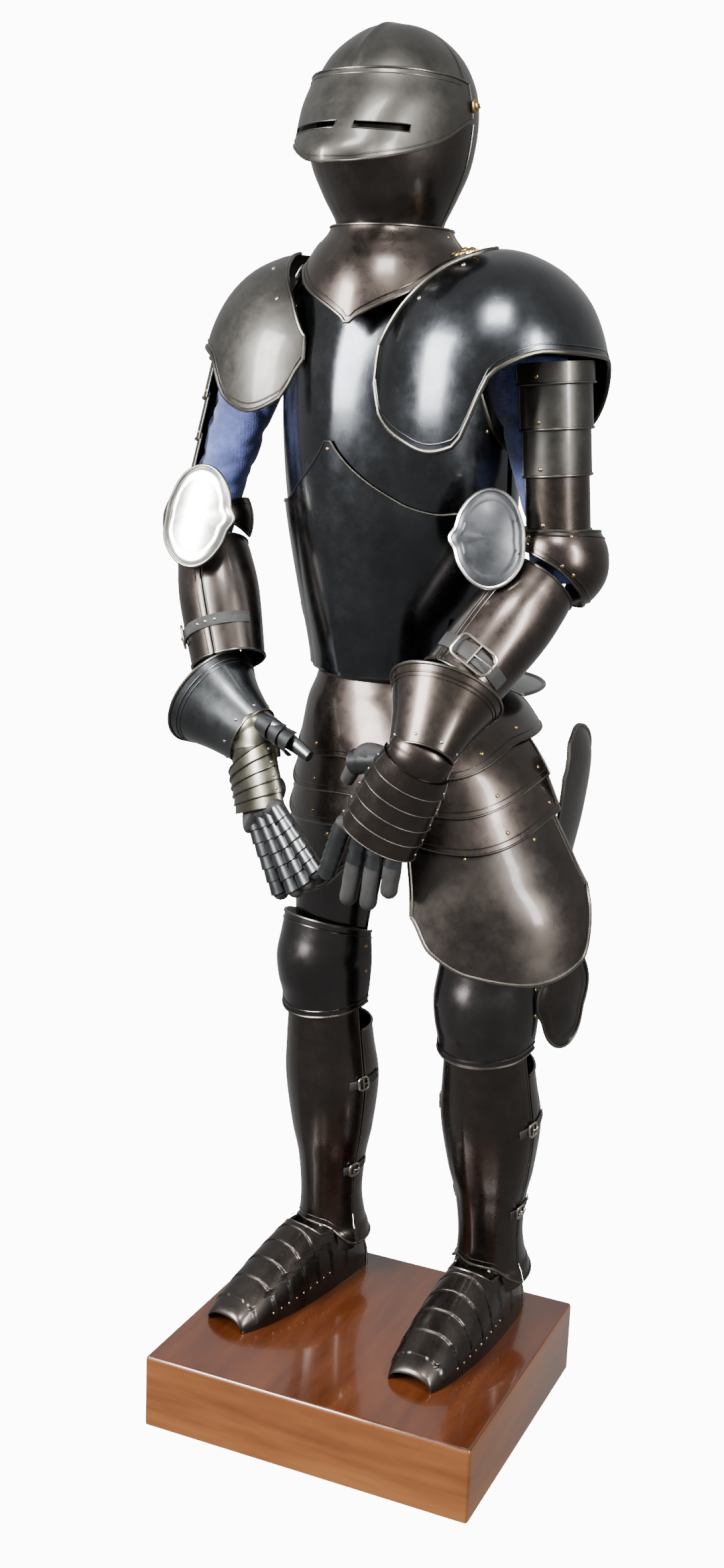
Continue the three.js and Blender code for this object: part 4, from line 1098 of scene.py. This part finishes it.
def build_arm(name, pose):
    side, elbow = pose["side"], np.array(pose["elbow"], float)
    build_shoulder(name, side, pose["shoulder"])
    upper = limb(elbow, pose["top"])
    for number, (top, bottom, lift) in enumerate(LAMES, 1):
        surface = Surface(UPPER_ARM, upper, side, lift)
        piece, plate = plated(surface, band(pose["lames"], 170, top, bottom), 52, 16)
        rolled(piece, plate, 1.9, "bottom")
        rolled(piece, plate, 1.2, "start", "end")
        rivets(piece, plate, [(max(pose["lames"] + 9, 8), bottom + 9), (150, bottom + 9)], slotted=True)
        piece.made(f"rerebrace_{name}_{number}", GREY if number < len(LAMES) else BROWN)
    build_elbow(name, pose, elbow)
    build_sleeve(name, side, upper, pose["sleeve"])
    build_forearm(name, side, limb(pose["wrist"], elbow))

    cuff = Surface(CUFF, limb(pose["cuff"], pose["rim"]), side)
    piece, plate = plated(cuff, band(0, 360, 96, 0), 69, 43)
    for inset, radius, look in ((0, 2.4, EDGE), (10, 1.3, PLATE), (15, 1.0, PLATE)):
        tube(piece, plate.along("top", inset)[:-1], radius, closed=True, look=look)
    tube(piece, plate.along("bottom", 1)[:-1], 1.6, closed=True)
    rivets(piece, plate, [(a, 12) for a in range(15, 360, 45)], 2.4, BUCKLE)
    piece.made(f"gauntlet_cuff_{name}", BROWN if side > 0 else SLATE)
    build_hand(name, pose)


# ---- helmet ----
HEAD = FIGURE_PLACE @ moved(-20, -78, 1560) @ turned(HEAD_TURN)
SKULL = table("z y w front back", (262, 8, 0.01, 0.01, 0.01), (256, 8, 34, 40, 42), (240, 8, 62, 70, 76),
              (215, 6, 86, 96, 102), (180, 4, 102, 113, 118), (140, 2, 106, 118, 122), (90, 2, 100, 112, 110),
              (50, 4, 84, 96, 90), (20, 6, 70, 76, 72), (0, 6, 66, 72, 66))
SKULL_EDGES = [(0, 262, 186), (60, 262, 186), (84, 262, 130), (90, 262, 10), (180, 262, 10), (270, 262, 10),
               (276, 262, 130), (300, 262, 186), (360, 262, 186)]
VISOR = table("z y w front back keel", (192, 2, 100, 110, 110, 0), (178, 2, 104, 116, 110, 0),
              (150, 2, 110, 134, 110, 0), (110, 2, 110, 154, 110, 4), (85, 2, 108, 164, 110, 8),
              (60, 2, 106, 160, 110, 8))
VISOR_EDGES = [(-90, 184, 142), (-82, 186, 134), (-70, 188, 120), (-55, 189, 108), (-40, 190, 98),
               (-25, 190, 86), (-12, 190, 77), (0, 190, 74), (15, 190, 75), (30, 190, 80), (45, 190, 87),
               (55, 189, 95), (70, 188, 113), (82, 186, 132), (90, 184, 142)]
BEVOR_EDGES = both_sides((0, 124, 10), (60, 124, 10), (78, 134, 10), (96, 138, 10))
EYE_SLOTS = [(-40, 3), (14, 47)]             # between these angles
EYE_LEVELS = (122, 113)                      # and these heights
PIVOT = (115.5, 4, 158)


def comb(angle, height, _top, _bottom):
    """A low ridge over the skull from front to back."""
    width = section_at(SKULL, station_at(SKULL, height))[..., COLUMNS.index("w")]
    return 2.2 * np.exp(-(width * np.sin(np.radians(angle)) / 5) ** 2)


def build_helmet():
    piece, plate = plated(Surface(SKULL, HEAD), SKULL_EDGES, 138, 65, relief=comb)
    tube(piece, plate.along("bottom", 0, 200)[:-1], 1.6, closed=True)
    rivets(piece, plate, [(a, 30) for a in (100, 140, 180, 220, 260)], 2.6)
    piece.made("skull", GREY)

    holes = [(low, high, 1, 2) for low, high in EYE_SLOTS]
    surface = Surface(VISOR, HEAD, lift=LAP)
    piece, plate = plated(surface, VISOR_EDGES, 130, 43, marks=EYE_LEVELS, holes=holes)
    tube(piece, plate.rim(120), 1.7, closed=True)
    raised(piece, plate, "bottom", 6, 1.1, (0.12, 0.88))
    raised(piece, plate, "top", 7, 0.8, (0.05, 0.95))
    for low, high in EYE_SLOTS:
        angles = np.linspace(low, high, 20)
        path = surface.at(np.concatenate([angles, angles[::-1]]), np.repeat(EYE_LEVELS, 20))[0]
        tube(piece, path, 0.9, closed=True, look=PLATE)
    piece.made("visor", GREY, body="visor")

    chin = SKULL[4:].copy()
    chin[:, COLUMNS.index("keel")] = 5
    piece, plate = plated(Surface(chin, HEAD, lift=LAP), BEVOR_EDGES, 95, 40)
    rolled(piece, plate, 2.2, "bottom")
    rolled(piece, plate, 1.4, "start", "end")
    piece.made("bevor", DARK_BROWN, body="bevor")

    for name, side in (("left", 1), ("right", -1)):
        piece = Piece()
        centre = applied(HEAD, np.array([side * PIVOT[0], PIVOT[1], PIVOT[2]]))
        out = HEAD[:3, :3] @ np.array([side, 0.0, 0.0])
        dome(piece, centre, out, 9, 0.35, RIVET, 28, 6)
        dome(piece, centre + out * 2.6, out, 5.5, 0.6, RIVET, 24, 6, slotted=True)
        piece.made(f"visor_pivot_{name}", BROWN, "brass", kind="screw")


# ---- small fittings at the shoulders ----
def build_shoulder_straps():
    """A strap and buckle over the right shoulder, and a small brass rosette over the left."""
    piece = Piece()
    points, normals = Surface(GORGET, NECK).at(np.linspace(-86, -80, 20), np.linspace(20, -44, 20), 4)
    ribbon(piece, points, normals, 16, 2)
    buckled(piece, points, normals, 12, 23, 20)
    cap = Surface(PAULDRON, FIGURE_PLACE @ moved(ARMS["left"]["shoulder"], -50, 0))
    centre, normal = cap.at(-30.0, 1537.0, 1.5)
    side = unit(np.cross(normal, (0, 0, 1.0)))
    for cosine, sine in zip(*round_turn(8)):
        petal = centre + (side * cosine + np.cross(normal, side) * sine) * 10
        dome(piece, petal, normal, 5.2, 0.7, RIVET, 14, 5)
    dome(piece, centre, normal, 7, 0.9, RIVET, 20, 6)
    for way in (-1, 1):
        for k in range(3):
            dome(piece, centre + side * way * (19 + 7 * k), normal, 4.2 - 0.7 * k, 0.8, RIVET, 14, 5)
    piece.made("shoulder", BROWN, kind="fittings", alone=True)


# ---- camera and light, in metres and degrees ----
CAMERA_PLACE = (0.9168, -2.1701, 1.4672)
CAMERA_WAY = (23.848, 12.589)                # azimuth and elevation, seen from the suit
CAMERA_ROLL = -2.268
LENS, SENSOR = 39.92, 36
CHEST = np.array((0, 0, 1.1))                # what the lamps look at
LAMPS = [("key", (-34, 24), 3.2, (1.2, 1.9), 520), ("side", (62, 24), 3.2, (0.45, 1.9), 220),
         ("front", (20, 56), 3.4, (0.9, 0.6), 120)]
SKY = [(0.0, 0.36), (0.46, 0.44), (0.6, 0.50), (1.0, 0.75)]    # from straight down to straight up
BACKDROP = 12.0                              # what the camera sees behind the suit


def towards(azimuth, elevation):
    """The direction from the suit towards a viewer."""
    az, el = math.radians(azimuth), math.radians(elevation)
    return np.array([math.sin(az) * math.cos(el), -math.cos(az) * math.cos(el), math.sin(el)])


def placed(name, data, back, place, roll=0.0):
    """A camera or lamp at a place that looks away from back, rolled about its view."""
    right = unit(np.cross(-back, (0, 0, 1)))
    up = np.cross(back, right)
    c, s = math.cos(math.radians(roll)), math.sin(math.radians(roll))
    made = np.eye(4)
    made[:3, 0], made[:3, 1], made[:3, 2], made[:3, 3] = right * c - up * s, right * s + up * c, back, place
    holder = bpy.data.objects.new(name, data)
    bpy.context.collection.objects.link(holder)
    holder.matrix_world = Matrix(made.tolist())
    return holder


def set_camera():
    """The scene's one camera, with an unshifted frame."""
    camera = placed("camera", bpy.data.cameras.new("camera"), towards(*CAMERA_WAY), CAMERA_PLACE, CAMERA_ROLL)
    camera.data.sensor_width = SENSOR
    camera.data.lens = LENS
    camera.data.clip_end = 100
    bpy.context.scene.camera = camera


def set_light():
    """Three soft boxes, and a world that is darker below, with a white backdrop."""
    for name, way, distance, size, power in LAMPS:
        lamp = bpy.data.lights.new(name, "AREA")
        lamp.shape = "RECTANGLE"
        lamp.size, lamp.size_y = size
        lamp.energy = power
        back = towards(*way)
        placed(name, lamp, back, CHEST + back * distance)

    world = bpy.data.worlds.new("studio")
    world.use_nodes = True
    tree = world.node_tree
    lit = tree.nodes["Background"]
    set_inputs(lit, {"Strength": 1.0})
    parts = new_node(tree, "SeparateXYZ")
    link(tree, new_node(tree, "TexCoord"), "Generated", parts, "Vector")
    rise = spread(tree, parts, 0, 1, -1, 1, output="Z")
    sky = ramp(tree, rise, [(height, (grey, grey, grey)) for height, grey in SKY], output="Result")
    link(tree, sky, "Color", lit, "Color")
    seen = new_node(tree, "Background", Color=(1, 1, 1, 1), Strength=BACKDROP)
    mixed = new_node(tree, "MixShader")
    link(tree, new_node(tree, "LightPath"), "Is Camera Ray", mixed, 0)
    link(tree, lit, "Background", mixed, 1)
    link(tree, seen, "Background", mixed, 2)
    link(tree, mixed, "Shader", tree.nodes["World Output"], "Surface")
    bpy.context.scene.world = world


build_plinth()
build_trunk()
build_gorget()
build_skirt()
for leg_name, leg in LEGS.items():
    build_leg(leg_name, *leg)
for arm_name, arm in ARMS.items():
    build_arm(arm_name, arm)
build_helmet()
build_shoulder_straps()
set_camera()
set_light()
